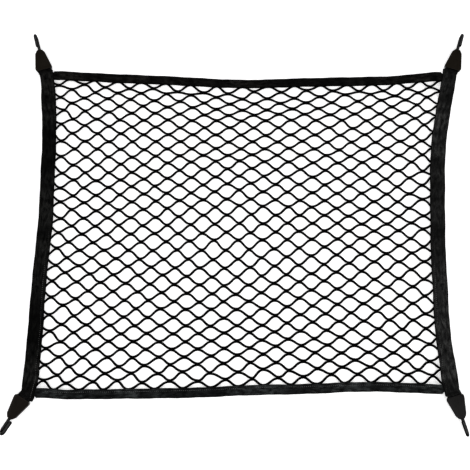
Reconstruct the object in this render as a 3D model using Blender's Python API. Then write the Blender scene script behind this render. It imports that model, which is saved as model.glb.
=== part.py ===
"""Elastic cargo net, lying face up: a knitted mesh bound with four webbing tapes, and at each
corner a moulded hook end that grips the side tape and holds a bent wire hook.

X runs along the net, Y across it and Z is up, with the surface that the net lies on at Z = 0."""

import math
from collections import namedtuple

import bmesh
import bpy
import numpy as np
from mathutils import Matrix, Vector
from mathutils.geometry import delaunay_2d_cdt

# Sizes are in millimetres and angles in degrees. METRE turns a size into Blender's unit.
METRE = 0.001
CLEAR = 0.3  # gap between pieces that touch

# Mesh of elastic cords
CORD = 2.4  # width of one cord
MESH_THICK = 2.2
SELVEDGE_THICK = 1.7  # the mesh pressed between the layers of a tape
LEVELS = 24  # steps of half a gap from the top tape to the bottom tape
COLUMNS = 19  # steps of half a gap from the left tape to the right tape
COLUMN_START = 0.4  # share of a step that the left tape hides of the first gaps
TIP = 0.86  # where a gap closes, as a share of a step
NARROWEST = 4.0  # a gap narrower than this stays closed
CORNER_WEB = 12.0  # size of the closed corner between two tapes
WOBBLE = 1.6  # how far the cords stray from an even mesh
SETTLE = 38.0  # distance from a tape over which the mesh sinks to the surface

# Webbing tapes, folded over the edge of the mesh
LAYER = 1.0  # thickness of one layer of webbing
SLOT = MESH_THICK + 2 * CLEAR  # room between the layers, which hold the mesh
CORNER_SLOT = 4.2  # room between a side tape's layers at a corner
PRESSED_SLOT = 0.3  # room between layers that are pressed together
REST = SLOT / 2 + LAYER  # height of a tape's middle where it lies on the surface
HELD_SIDE = 9.0  # width of mesh inside a side tape
HELD_CORNER = 3.0  # the same where the tape climbs to a corner
HELD_END = 7.0  # width of mesh inside the top or bottom tape
TUCK = 8.0  # length of the top or bottom tape inside a side tape
TUCK_TRIM = 6.0  # how much narrower the tucked length is at its outer edge
PRESSED_BY = 1.0  # distance from the side tape at which the other tape is pressed flat
CLIMB = 85.0  # length over which a tape climbs to its hook end
FINE_STEP = 7.0  # spacing of a tape's sections where it climbs
SELVEDGE_STEP = 9.0  # spacing of the points round the outside of the mesh
BORDER_STEP = 5.0  # spacing of the mesh's own points along the tapes' edges
BORDER_CLEAR = 1.0  # distance of those points from a gap
BORDER_SHARE = 0.3  # spacing of a gap's points along a tape's edge, in steps

# Moulded hook end, measured along its axis from the mouth that takes the tape
END_LENGTH = 40.0
END_HALF_WIDTH = 16.0
END_CORNER = 5.0  # radius of the corners beside the mouth
END_THICK = 9.0
END_RIM = 1.2  # rounding of the rims
SHOULDER_AT = 34.0  # distance of the shoulders from the mouth
SHOULDER_HALF_WIDTH = 8.6
SHOULDER_RADIUS = 6.0
NOSE_HALF_WIDTH = 4.0
NOSE_RADIUS = 1.6
MOUTH_DEPTH = 14.0
MOUTH_HALF_WIDTH = 11.8
TAPE_HALF_WIDTH = MOUTH_HALF_WIDTH - CLEAR  # the tape narrows to enter the mouth
TAPE_DEPTH = MOUTH_DEPTH - 1.5  # length of tape inside the mouth
TAPE_LIP = 0.5  # distance from the mouth at which the tape starts to widen
SPILL_AT = 2.5  # distance from the mouth at which a spilling tape is widest
SPILL_SLOT = 0.9  # room between its layers there
NECK = 8.0  # distance from the mouth at which the tape has its full width
NECK_HALF_WIDTH = 12.0
CUT_BEYOND = 5.0  # how far a cutter stands out of the piece that it cuts

# Wire hook, seated in the nose of its hook end
WIRE = 5.0  # diameter of the coated wire
SEAT = 11.3  # length of wire inside the nose
REACH = 29.0  # length of the hook beyond the nose
HOOK_RADIUS = 7.0  # bend, to the middle of the wire
RETURN_GAP = 3.0  # distance from the nose to the free end
BEND_AT = END_LENGTH + REACH - HOOK_RADIUS - WIRE / 2  # where the bend starts, from the mouth

# Edges of the tapes. "along" is Y for a side tape and X for the top and bottom tapes.
TapeRow = namedtuple("TapeRow", "along outer inner")
LEFT_ROWS = (
    TapeRow(265, -368.5, -344.5),
    TapeRow(230, -366, -340),
    TapeRow(190, -362.5, -337.5),
    TapeRow(150, -360.5, -336),
    TapeRow(110, -361, -336),
    TapeRow(70, -361, -336.5),
    TapeRow(30, -360.5, -335.5),
    TapeRow(-10, -361.5, -336),
    TapeRow(-50, -364, -339.5),
    TapeRow(-90, -366.5, -342),
    TapeRow(-130, -368, -343.5),
    TapeRow(-170, -369, -343.5),
    TapeRow(-210, -370.5, -345),
    TapeRow(-245, -372.5, -347.5),
    TapeRow(-278, -374.5, -350),
)
RIGHT_ROWS = (
    TapeRow(268, 384.5, 359),
    TapeRow(230, 376.5, 350.5),
    TapeRow(190, 368.5, 342.5),
    TapeRow(150, 362, 336),
    TapeRow(110, 357.5, 331.5),
    TapeRow(70, 355, 329),
    TapeRow(30, 353, 327.5),
    TapeRow(-10, 352, 326.5),
    TapeRow(-50, 350.5, 325),
    TapeRow(-90, 350.5, 325),
    TapeRow(-130, 350.5, 325),
    TapeRow(-170, 351, 325.5),
    TapeRow(-210, 353.5, 328),
    TapeRow(-245, 356, 330.5),
    TapeRow(-274, 358, 332.5),
)
TOP_ROWS = (
    TapeRow(-335, 284, 268),
    TapeRow(-310, 283, 267.5),
    TapeRow(-270, 281.5, 266),
    TapeRow(-220, 279, 263),
    TapeRow(-170, 276.5, 261),
    TapeRow(-120, 274.5, 259),
    TapeRow(-70, 271.5, 256),
    TapeRow(-20, 268.5, 253.5),
    TapeRow(30, 268.5, 253.5),
    TapeRow(80, 271, 255.5),
    TapeRow(130, 272, 256.5),
    TapeRow(180, 273, 257),
    TapeRow(230, 274.5, 258.5),
    TapeRow(280, 276.5, 261),
    TapeRow(320, 280, 264),
    TapeRow(348.5, 282.5, 265.5),
)
BOTTOM_ROWS = (
    TapeRow(-342, -297, -281),
    TapeRow(-310, -299, -283.5),
    TapeRow(-270, -299, -283),
    TapeRow(-220, -298.5, -282.5),
    TapeRow(-170, -298.5, -282),
    TapeRow(-120, -297.5, -281),
    TapeRow(-70, -296, -279.5),
    TapeRow(-20, -294, -277.5),
    TapeRow(30, -292.5, -275.5),
    TapeRow(80, -291, -274.5),
    TapeRow(130, -289.5, -273),
    TapeRow(180, -287.5, -271.5),
    TapeRow(230, -287, -271),
    TapeRow(280, -288.5, -272.5),
    TapeRow(326, -290.5, -275),
)

# How far down the mesh each full row of gaps ends, in percent, near the left tape, in the
# middle and near the right tape: the rows are closest at the top and widest in the middle.
RowShare = namedtuple("RowShare", "left middle right")
ROW_SHARES = (
    RowShare(0.0, 0.0, 0.0),
    RowShare(3.3, 3.6, 3.4),
    RowShare(8.0, 7.6, 7.8),
    RowShare(13.0, 11.6, 12.4),
    RowShare(18.0, 16.7, 17.5),
    RowShare(23.3, 21.5, 22.6),
    RowShare(28.7, 25.9, 27.6),
    RowShare(33.8, 30.9, 33.1),
    RowShare(38.6, 36.1, 38.5),
    RowShare(43.6, 41.0, 43.7),
    RowShare(48.7, 47.2, 48.6),
    RowShare(54.2, 52.9, 53.4),
    RowShare(59.2, 59.1, 58.7),
    RowShare(64.2, 65.0, 64.3),
    RowShare(69.4, 70.6, 69.8),
    RowShare(74.9, 75.6, 75.1),
    RowShare(80.4, 80.9, 80.6),
    RowShare(85.6, 85.8, 86.1),
    RowShare(90.6, 90.4, 91.0),
    RowShare(96.0, 95.5, 95.5),
    RowShare(100.0, 100.0, 100.0),
)
SHARE_AT = RowShare(0.11, 0.49, 0.86)  # where along the net each share was taken
DRIFT_TOP = -0.3  # how far the middle of the mesh leans left at the top, in steps
DRIFT_BOTTOM = 0.1  # and right at the bottom

# The mouth of each hook end, seen from above. Heading turns the axis from +Y, anticlockwise.
# Roll leans the face over, spill is the width of tape that stands out beside the mouth, and
# swivel turns the wire in its seat.
HookPose = namedtuple("HookPose", "x y heading roll spill swivel")
HOOKS = {
    "top_left": HookPose(-362.4, 285.8, 15.5, 0.0, 0.0, 0.0),
    "top_right": HookPose(378.6, 286.8, -17.0, 0.0, 0.0, 0.0),
    "bottom_left": HookPose(-370.5, -296.8, 147.5, 0.0, 4.0, -32.0),
    "bottom_right": HookPose(350.8, -292.9, 197.7, 18.0, 0.0, 0.0),
}

# Finishes: colour, roughness, metallic
Finish = namedtuple("Finish", "colour roughness metallic")
CORD_FINISH = Finish((0.008, 0.008, 0.009), 0.85, 0.0)
WEBBING_FINISH = Finish((0.011, 0.012, 0.011), 0.8, 0.0)
PLASTIC_FINISH = Finish((0.016, 0.013, 0.011), 0.45, 0.0)
WIRE_FINISH = Finish((0.02, 0.02, 0.021), 0.3, 0.1)


# ---------------------------------------------------------------- scene and objects


def clear_scene():
    for thing in list(bpy.data.objects):
        bpy.data.objects.remove(thing, do_unlink=True)


def material(name, finish):
    made = bpy.data.materials.new(name)
    made.use_nodes = True
    shader = made.node_tree.nodes["Principled BSDF"]
    shader.inputs["Base Color"].default_value = (*finish.colour, 1.0)
    shader.inputs["Roughness"].default_value = finish.roughness
    shader.inputs["Metallic"].default_value = finish.metallic
    made.diffuse_color = (*finish.colour, 1.0)
    return made


def mesh_from(name, points, faces):
    """A mesh in metres from points in millimetres, with its faces turned outwards."""
    mesh = bpy.data.meshes.new(name)
    mesh.from_pydata((np.asarray(points, float) * METRE).tolist(), [], faces)
    shape = bmesh.new()
    shape.from_mesh(mesh)
    bmesh.ops.recalc_face_normals(shape, faces=shape.faces)
    shape.to_mesh(mesh)
    shape.free()
    return mesh


def place(name, data, finish, parent):
    thing = bpy.data.objects.new(name, data)
    bpy.context.scene.collection.objects.link(thing)
    thing.parent = parent
    if not data.materials:
        data.materials.append(finish)
    return thing


def empty(name, parent=None):
    made = bpy.data.objects.new(name, None)
    bpy.context.scene.collection.objects.link(made)
    made.parent = parent
    return made


# ---------------------------------------------------------------- hook ends


def ease(share):
    """Rises smoothly from 0 to 1 as its argument does."""
    share = np.clip(share, 0.0, 1.0)
    return share * share * (3 - 2 * share)


def hook_matrix(pose):
    """Places a hook end by its mouth, lying on its back or, where it leans, on the long edge
    from a corner to a shoulder."""
    roll = math.radians(abs(pose.roll))
    core = (END_THICK / 2 - END_RIM) * math.cos(roll) + END_RIM
    at_corner = core + (END_HALF_WIDTH - END_RIM) * math.sin(roll)
    at_shoulder = core + (SHOULDER_HALF_WIDTH - END_RIM) * math.sin(roll)
    drop = math.atan2(at_corner - at_shoulder, SHOULDER_AT - END_CORNER)
    height = at_corner * math.cos(drop) + END_CORNER * math.sin(drop)
    return (
        Matrix.Translation((pose.x, pose.y, height))
        @ Matrix.Rotation(math.radians(pose.heading), 4, "Z")
        @ Matrix.Rotation(-drop, 4, "X")
        @ Matrix.Rotation(math.radians(pose.roll), 4, "Y")
    )


def outer_side(pose):
    """Which way, along a hook end's own X, the outer edge of its tape lies."""
    return math.copysign(1.0, pose.x) * math.copysign(1.0, math.cos(math.radians(pose.heading)))


def rounded_outline(corners, steps=4):
    """Points round a polygon whose corners are (x, y, radius), each turned as an arc."""
    outline = []
    for i, (x, y, radius) in enumerate(corners):
        here = np.array((x, y))
        before = np.array(corners[i - 1][:2]) - here
        after = np.array(corners[(i + 1) % len(corners)][:2]) - here
        before, after = before / np.linalg.norm(before), after / np.linalg.norm(after)
        half = math.acos(np.clip(before @ after, -1, 1)) / 2
        inward = (before + after) / np.linalg.norm(before + after)
        centre = here + inward * radius / math.sin(half)
        start = centre - inward * radius
        reach = math.pi / 2 - half
        turn = math.copysign(1.0, before[0] * after[1] - before[1] * after[0])
        for step in range(steps + 1):
            angle = -turn * reach * (1 - 2 * step / steps)
            cosine, sine = math.cos(angle), math.sin(angle)
            offset = start - centre
            outline.append(
                centre
                + (offset[0] * cosine + offset[1] * sine, offset[1] * cosine - offset[0] * sine)
            )
    return outline


def prism(outline, low, high):
    """Points and faces of an outline in X and Y, raised from one height to another."""
    count = len(outline)
    points = [(x, y, low) for x, y in outline] + [(x, y, high) for x, y in outline]
    sides = [
        (i, (i + 1) % count, (i + 1) % count + count, i + count) for i in range(count)
    ]
    return points, [tuple(range(count)), tuple(range(count, 2 * count)), *sides]


def cut(body, cutter):
    cutter.hide_render = True
    cutter.display_type = "WIRE"
    boolean = body.modifiers.new(cutter.name, "BOOLEAN")
    boolean.operation = "DIFFERENCE"
    boolean.solver = "EXACT"
    boolean.object = cutter


def hook_end_mesh(finish):
    """The moulded end: a rounded wedge with a flat mouth for the tape and a bore for the wire."""
    corners = (
        (-END_HALF_WIDTH, 0, END_CORNER),
        (END_HALF_WIDTH, 0, END_CORNER),
        (SHOULDER_HALF_WIDTH, SHOULDER_AT, SHOULDER_RADIUS),
        (NOSE_HALF_WIDTH, END_LENGTH, NOSE_RADIUS),
        (-NOSE_HALF_WIDTH, END_LENGTH, NOSE_RADIUS),
        (-SHOULDER_HALF_WIDTH, SHOULDER_AT, SHOULDER_RADIUS),
    )
    points, faces = prism(rounded_outline(corners), -END_THICK / 2, END_THICK / 2)
    body = place("end_body", mesh_from("end_body", points, faces), finish, None)
    rims = body.modifiers.new("rims", "BEVEL")
    rims.width = END_RIM * METRE
    rims.segments = 2
    rims.limit_method = "ANGLE"
    rims.angle_limit = math.radians(50)

    tall = LAYER + PRESSED_SLOT / 2 + CLEAR
    wide = MOUTH_HALF_WIDTH
    outside = -CUT_BEYOND
    mouth_outline = [(-wide, outside), (wide, outside), (wide, MOUTH_DEPTH), (-wide, MOUTH_DEPTH)]
    mouth = place("mouth", mesh_from("mouth", *prism(mouth_outline, -tall, tall)), finish, None)

    bore_from = END_LENGTH - SEAT - CLEAR
    sides = 12
    radius = (WIRE / 2 + CLEAR) / math.cos(math.pi / sides)
    bore_ring = [
        (math.cos(a) * radius, math.sin(a) * radius)
        for a in (2 * math.pi * (i + 0.5) / sides for i in range(sides))
    ]
    points, faces = prism(bore_ring, bore_from, END_LENGTH + CUT_BEYOND)
    points = [(x, z, y) for x, y, z in points]
    bore = place("bore", mesh_from("bore", points, faces), finish, None)

    cut(body, mouth)
    cut(body, bore)
    bpy.context.view_layer.update()
    evaluated = body.evaluated_get(bpy.context.evaluated_depsgraph_get())
    shaped = bpy.data.meshes.new_from_object(evaluated)
    shaped.name = "hook_end"
    for helper in (body, mouth, bore):
        bpy.data.objects.remove(helper, do_unlink=True)
    shaped.shade_smooth()
    shaped.set_sharp_from_angle(angle=math.radians(35))
    return shaped


def wire_curve():
    """The wire: a straight shank, a half turn, and a shorter free leg above the shank."""
    turns = 10
    line = [(0, END_LENGTH - SEAT, 0)]
    for i in range(turns + 1):
        angle = math.pi * i / turns
        line.append(
            (
                0,
                BEND_AT + HOOK_RADIUS * math.sin(angle),
                HOOK_RADIUS * (1 - math.cos(angle)),
            )
        )
    line.append((0, END_LENGTH + RETURN_GAP, 2 * HOOK_RADIUS))
    curve = bpy.data.curves.new("wire_hook", "CURVE")
    curve.dimensions = "3D"
    curve.bevel_depth = WIRE / 2 * METRE
    curve.bevel_resolution = 3
    curve.use_fill_caps = True
    spline = curve.splines.new("POLY")
    spline.points.add(len(line) - 1)
    for point, where in zip(spline.points, line):
        point.co = (*(METRE * value for value in where), 1.0)
    return curve


# ---------------------------------------------------------------- tapes

# A section across a tape: its folded outer edge, its open inner edge, and the room inside.
Section = namedtuple("Section", "outer inner slot")


def between(first, last, share):
    return Section(*(a + (b - a) * share for a, b in zip(first, last)))


def side_sections(rows, top, bottom):
    """Sections of a side tape from its end inside the top hook end to that inside the bottom
    one. It lies flat between them and climbs to each mouth."""
    flat = [
        Section(np.array((row.outer, row.along, REST)), np.array((row.inner, row.along, REST)), SLOT)
        for row in rows
    ]
    necks = [mouth_sections(pose) for pose in (top, bottom)]
    line = [necks[0][-1], *flat, necks[1][-1]]
    fine = [line[0]]
    for first, last in zip(line, line[1:]):
        climbing = min(
            np.linalg.norm((end.outer - neck[-1].outer)[:2])
            for end in (first, last)
            for neck in necks
        )
        length = np.linalg.norm((last.outer - first.outer)[:2])
        steps = math.ceil(length / FINE_STEP) if climbing < CLIMB else 1
        fine += [between(first, last, (i + 1) / steps) for i in range(steps)]
    climbed = [climb(section, necks) for section in fine[1:-1]]
    return [*necks[0], *climbed, *reversed(necks[1])]


def mouth_sections(pose):
    """Sections of a side tape from inside a hook end's mouth out to its neck."""
    matrix = hook_matrix(pose)
    side = outer_side(pose)

    def section(along, outer, inner, slot):
        edges = (matrix @ Vector((side * x, along, 0)) for x in (outer, -inner))
        return Section(*(np.array(edge) for edge in edges), slot)

    half = TAPE_HALF_WIDTH
    found = [
        section(TAPE_DEPTH, half, half, PRESSED_SLOT),
        section(-TAPE_LIP, half, half, PRESSED_SLOT),
        section(-NECK, NECK_HALF_WIDTH, NECK_HALF_WIDTH, CORNER_SLOT),
    ]
    if pose.spill:
        found.insert(2, section(-SPILL_AT, half, half + pose.spill, SPILL_SLOT))
    return found


def climb(section, necks):
    """The section raised, and its room widened, as its distance from a neck asks."""
    outer, inner, slot = section.outer.copy(), section.inner.copy(), SLOT
    outer[2] = inner[2] = REST
    for neck in necks:
        for edge, target in ((outer, neck[-1].outer), (inner, neck[-1].inner)):
            share = ease(1 - np.linalg.norm((edge - target)[:2]) / CLIMB)
            edge[2] += share * (target[2] - REST)
        slot += share * (CORNER_SLOT - SLOT)
    return Section(outer, inner, slot)


def side_of(section, point):
    across = section.inner[:2] - section.outer[:2]
    away = point - section.outer[:2]
    return across[0] * away[1] - across[1] * away[0]


def height_on(sections, x, y):
    """Height of a tape's middle at a place on it, read between its two nearest sections."""
    point = np.array((x, y))
    sides = [side_of(section, point) for section in sections]
    for first, last, a, b in zip(sections, sections[1:], sides, sides[1:]):
        if a == 0 or a * b < 0:
            break
    else:
        nearest = int(np.argmin(np.abs(sides)))
        first = last = sections[nearest]
        a, b = 1.0, 0.0
    here = between(first, last, a / (a - b))
    across = here.inner - here.outer
    share = (point - here.outer[:2]) @ across[:2] / (across[:2] @ across[:2])
    return here.outer[2] + share * across[2]


def end_sections(rows, left, right):
    """Sections of the top or bottom tape. Each end is pressed flat and tucked into a side tape."""
    inward = math.copysign(1.0, rows[0].inner - rows[0].outer)

    def corner(side_tape, row, way):
        edge_x = min(way * inner_edge(side_tape, y) for y in (row.inner, row.outer)) * way
        stops = (
            (edge_x + way * TUCK, row.outer + inward * TUCK_TRIM, PRESSED_SLOT),
            (edge_x + way * TUCK / 2, row.outer + inward * TUCK_TRIM * 0.8, PRESSED_SLOT),
            (edge_x - way * PRESSED_BY, row.outer, PRESSED_SLOT),
            (row.along, row.outer, SLOT),
        )
        found = []
        for x, outer_at, slot in stops:
            edges = []
            for y in (outer_at, row.inner):
                covered = way * max(way * x, way * inner_edge(side_tape, y))
                edges.append(np.array((x, y, height_on(side_tape, covered, y))))
            found.append(Section(*edges, slot))
        return found

    left_end = corner(left, rows[0], -1)
    right_end = corner(right, rows[-1], 1)
    line = [left_end[-1]]
    for row in rows[1:-1]:
        outer, inner = (np.array((row.along, y, REST)) for y in (row.outer, row.inner))
        line.append(Section(outer, inner, SLOT))
    line.append(right_end[-1])
    fine = []
    for first, last in zip(line, line[1:]):
        ends = (line[0], line[-1])
        climbing = min(abs(s.outer[0] - end.outer[0]) for s in (first, last) for end in ends)
        length = abs(last.outer[0] - first.outer[0])
        steps = math.ceil(length / FINE_STEP) if climbing < CLIMB else 1
        fine += [between(first, last, (i + 1) / steps) for i in range(steps)]
    for section in fine[:-1]:
        for edge, name in ((section.outer, "outer"), (section.inner, "inner")):
            edge[2] = REST
            for end in (line[0], line[-1]):
                target = getattr(end, name)
                edge[2] += ease(1 - abs(edge[0] - target[0]) / CLIMB) * (target[2] - REST)
    return [*left_end, *fine[:-1], *reversed(right_end)]


def inner_edge(sections, y):
    """X of a side tape's inner edge at a given Y."""
    line = sorted((section.inner[1], section.inner[0]) for section in sections)
    return float(np.interp(y, *zip(*line)))


def folded_profile(section):
    """Twelve points round the webbing: out along one layer, round the fold and back."""
    across = section.inner - section.outer
    width = np.linalg.norm(across)
    across = across / width
    up = np.array((0, 0, 1.0)) - across[2] * across
    up /= np.linalg.norm(up)
    half = section.slot / 2 + LAYER
    fold = [
        (half - half * math.cos(angle), half * math.sin(angle))
        for angle in (math.pi / 2 - math.pi * i / 4 for i in range(5))
    ]
    room = section.slot / 2
    flat = [
        (width, half),
        *fold,
        (width, -half),
        (width, -room),
        (LAYER + room, -room),
        (LAYER, 0.0),
        (LAYER + room, room),
        (width, room),
    ]
    return [section.outer + across * along + up * rise for along, rise in flat]


def tape_mesh(name, sections):
    rings = [folded_profile(section) for section in sections]
    count = len(rings[0])
    points = [point for ring in rings for point in ring]
    faces = [
        (a * count + i, a * count + (i + 1) % count, (a + 1) * count + (i + 1) % count, (a + 1) * count + i)
        for a in range(len(rings) - 1)
        for i in range(count)
    ]
    last = (len(rings) - 1) * count
    faces += [tuple(range(count)), tuple(range(last, last + count))]
    mesh = mesh_from(name, points, faces)
    mesh.shade_smooth()
    mesh.set_sharp_from_angle(angle=math.radians(50))
    return mesh


# ---------------------------------------------------------------- mesh of cords


def edge_at(rows, along):
    """The inner edge of a tape at a place along it."""
    line = sorted((row.along, row.inner) for row in rows)
    return np.interp(along, *zip(*line))


def row_share(u, v):
    """How far down the mesh a level lies, from 0 at the top tape to 1 at the bottom one."""
    rows = np.linspace(0, 1, len(ROW_SHARES))
    shares = [np.interp(v, rows, column) / 100 for column in zip(*ROW_SHARES)]
    return np.interp(u, SHARE_AT, shares)


def mesh_place(column, level):
    """Where a place on the mesh lies, counted in steps from the left and top tapes."""
    u, v = column / COLUMNS, level / LEVELS
    inside = np.clip(min(u, 1 - u) * 5, 0, 1) * np.clip(min(v, 1 - v) * 5, 0, 1)
    lean = DRIFT_TOP * (1 - v) ** 2 + DRIFT_BOTTOM * v**2
    u_here = u + math.sin(math.pi * np.clip(u, 0, 1)) * lean / COLUMNS
    share = row_share(u, v)
    x = y = 0.0
    for _ in range(4):
        left, right = edge_at(LEFT_ROWS, y), edge_at(RIGHT_ROWS, y)
        x = left + (right - left) * u_here
        top, bottom = edge_at(TOP_ROWS, x), edge_at(BOTTOM_ROWS, x)
        y = top + (bottom - top) * share
    x += inside * WOBBLE * math.sin(1.9 * column + 0.7 * level) * math.cos(1.1 * level)
    y += inside * WOBBLE * math.sin(2.3 * level + 0.9 * column + 1.0) * 0.7
    return np.array((x, y))


def gap(column, level):
    """The lens between four cords, in steps, narrower by the cords' own width."""
    low, high = (mesh_place(column, level + step) for step in (0.5, -0.5))
    near, far = (mesh_place(column + step, level) for step in (-0.5, 0.5))
    tall, wide = np.linalg.norm(high - low), np.linalg.norm(far - near)

    def opening(along):
        steep = (tall - CORD) * math.pi / 2 / wide * math.sin(math.pi * along)
        middle = (tall - CORD) * (1 + math.cos(math.pi * along)) / 2 + CORD / 2
        return (middle - CORD / 2 * math.hypot(1, steep)) / tall

    upper = [(along, opening(along)) for along in (-0.5, 0.0, 0.5)]
    outline = [(-TIP, 0.0), *upper, (TIP, 0.0), *((x, -y) for x, y in reversed(upper))]
    return [(column + x, level + y) for x, y in outline]


def clipped(outline, keep):
    """The part of an outline where keep(point) is positive."""
    kept = []
    for i, here in enumerate(outline):
        before = outline[i - 1]
        a, b = keep(before), keep(here)
        if (a > 0) != (b > 0):
            share = a / (a - b)
            kept.append(tuple(p + (q - p) * share for p, q in zip(before, here)))
        if b > 0:
            kept.append(here)
    return kept


def bordered(outline):
    """An outline with more points on its sides along the tapes, so that they follow the tapes."""
    found = []
    for i, here in enumerate(outline):
        before = outline[i - 1]
        long_side = max(abs(a - b) for a, b in zip(before, here)) > BORDER_SHARE
        level_side = abs(before[1] - here[1]) < 1e-6 and not 0 < here[1] < LEVELS
        upright_side = abs(before[0] - here[0]) < 1e-6 and not 0 < here[0] < COLUMNS
        if long_side and (level_side or upright_side):
            length = max(abs(a - b) for a, b in zip(before, here))
            parts = math.ceil(length / BORDER_SHARE)
            found += [
                tuple(a + (b - a) * step / parts for a, b in zip(before, here))
                for step in range(1, parts)
            ]
        found.append(here)
    return found


def gap_outlines():
    """Every gap wide enough to cut, cut off where the tapes and the corners cover it."""
    hidden = 0.02  # share of a step by which a gap runs under a tape
    web = CORNER_WEB / 20
    limits = (
        lambda p: p[0] + hidden,
        lambda p: COLUMNS + hidden - p[0],
        lambda p: p[1] + hidden,
        lambda p: LEVELS + hidden - p[1],
        lambda p: p[0] + p[1] - web,
        lambda p: COLUMNS - p[0] + p[1] - web,
        lambda p: p[0] + LEVELS - p[1] - web,
        lambda p: COLUMNS - p[0] + LEVELS - p[1] - web,
    )
    found = []
    for level in range(LEVELS + 1):
        for node in range(COLUMNS + 2):
            if (node + level) % 2 == 0:
                continue
            outline = gap(node - COLUMN_START, level)
            for limit in limits:
                outline = clipped(outline, limit)
            if len(outline) < 3:
                continue
            places = np.array([mesh_place(*point) for point in bordered(outline)])
            if (places.max(axis=0) - places.min(axis=0)).min() > NARROWEST:
                found.append(places)
    return found


def mesh_outline():
    """The edge of the mesh, which the tapes hide, notched where the tapes cross."""
    notch = 1.0
    short = 2 * CLEAR

    def side(rows, corner, way):
        low, high = BOTTOM_ROWS[corner].inner + short, TOP_ROWS[corner].inner - short
        held = []
        for y in np.linspace(low, high, math.ceil((high - low) / SELVEDGE_STEP)):
            clear = min((y - low) / CLIMB, (high - y) / CLIMB, 1.0) ** 2
            width = HELD_CORNER + (HELD_SIDE - HELD_CORNER) * clear
            held.append((edge_at(rows, y) + way * width, y))
        return [(edge_at(rows, low), low), *held, (edge_at(rows, high), high)]

    def end(rows, way):
        low, high = rows[0].along + notch, rows[-1].along - notch
        stops = np.linspace(low, high, math.ceil((high - low) / SELVEDGE_STEP))
        held = [(x, edge_at(rows, x) + way * HELD_END) for x in stops]
        corners = [(low, rows[0].inner - way * short), (high, rows[-1].inner - way * short)]
        return [corners[0], *held, corners[1]]

    left, right = side(LEFT_ROWS, 0, -1), side(RIGHT_ROWS, -1, 1)
    top, bottom = end(TOP_ROWS, 1), end(BOTTOM_ROWS, -1)
    return [*bottom, *right, *reversed(top), *reversed(left)]


def borders_at(x, y):
    """For each tape: its name, how far outside it a place is, and its nearest edge."""
    left, right = edge_at(LEFT_ROWS, y), edge_at(RIGHT_ROWS, y)
    top, bottom = edge_at(TOP_ROWS, x), edge_at(BOTTOM_ROWS, x)
    return (
        ("tape_left", x - left, (left, y)),
        ("tape_right", right - x, (right, y)),
        ("tape_top", top - y, (x, top)),
        ("tape_bottom", y - bottom, (x, bottom)),
    )


def pressed(x, y):
    """Whether a tape holds the mesh there, or its edge is close by."""
    return min(depth for _, depth, _ in borders_at(x, y)) < BORDER_CLEAR


def mesh_height(x, y, tapes):
    """Height of the middle of the mesh: the tapes' own height where they hold it, then down to
    the surface as it leaves them."""
    borders = borders_at(x, y)
    for name, depth, _ in borders:
        if depth <= 0:
            return height_on(tapes[name], x, y)
    floor = MESH_THICK / 2
    total = weights = 0.0
    for name, depth, nearest in borders:
        weight = (depth + 0.01) ** -2
        total += weight * (height_on(tapes[name], *nearest) - floor) * ease(1 - depth / SETTLE)
        weights += weight
    return floor + total / weights


def border_points(gaps):
    """Points on the tapes' inner edges, between the gaps, where the mesh bends as it comes out."""
    inset = BORDER_STEP
    across = np.arange(BOTTOM_ROWS[0].inner + inset, TOP_ROWS[-1].inner - inset, BORDER_STEP)
    along = np.arange(LEFT_ROWS[-1].inner + inset * 3, RIGHT_ROWS[0].inner - inset * 3, BORDER_STEP)
    points = [(edge_at(rows, y), y) for rows in (LEFT_ROWS, RIGHT_ROWS) for y in across]
    points += [(x, edge_at(rows, x)) for rows in (TOP_ROWS, BOTTOM_ROWS) for x in along]
    return [point for point in points if not any(near(outline, point) for outline in gaps)]


def near(outline, point):
    """Whether a point is inside a convex outline, or too close outside it."""
    edges = np.roll(outline, -1, axis=0) - outline
    away = point - outline
    turns = edges[:, 0] * away[:, 1] - edges[:, 1] * away[:, 0]
    turns /= np.linalg.norm(edges, axis=1)
    return (turns > -BORDER_CLEAR).all() or (turns < BORDER_CLEAR).all()


def cord_mesh(tapes):
    """The knitted mesh: one plate with its gaps cut through, draped from the tapes."""
    gaps = gap_outlines()
    loops = [mesh_outline(), *gaps]
    flat, faces = [], []
    for loop in loops:
        faces.append(list(range(len(flat), len(flat) + len(loop))))
        flat += [Vector((float(x), float(y))) for x, y in loop]
    flat += [Vector((float(x), float(y))) for x, y in border_points(gaps)]
    inside_constraints = 1
    places, _, triangles, _, _, covers = delaunay_2d_cdt(
        flat, [], faces, inside_constraints, 1e-5
    )
    kept = [tuple(t) for t, cover in zip(triangles, covers) if list(cover) == [0]]
    heights = [mesh_height(p.x, p.y, tapes) for p in places]
    halves = [(SELVEDGE_THICK if pressed(p.x, p.y) else MESH_THICK) / 2 for p in places]
    count = len(places)
    points = [(p.x, p.y, z + half) for p, z, half in zip(places, heights, halves)]
    points += [(p.x, p.y, z - half) for p, z, half in zip(places, heights, halves)]
    edges = {(a, b) for t in kept for a, b in zip(t, t[1:] + t[:1])}
    walls = [(b, a, a + count, b + count) for a, b in edges if (b, a) not in edges]
    under = [tuple(i + count for i in reversed(t)) for t in kept]
    return mesh_from("net", points, kept + under + walls)


# ---------------------------------------------------------------- assembly


def centre_on_origin(root):
    """Moves the whole net so that the middle of its bounding box stands over the origin."""
    bpy.context.view_layer.update()
    graph = bpy.context.evaluated_depsgraph_get()
    corners = []
    for thing in bpy.data.objects:
        if thing.type == "EMPTY":
            continue
        shown = thing.evaluated_get(graph)
        mesh = shown.to_mesh()
        places = np.array([shown.matrix_world @ vertex.co for vertex in mesh.vertices])
        corners += [places.min(axis=0), places.max(axis=0)]
        shown.to_mesh_clear()
    middle = (np.min(corners, axis=0) + np.max(corners, axis=0)) / 2
    root.location = (-middle[0], -middle[1], 0.0)


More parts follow.
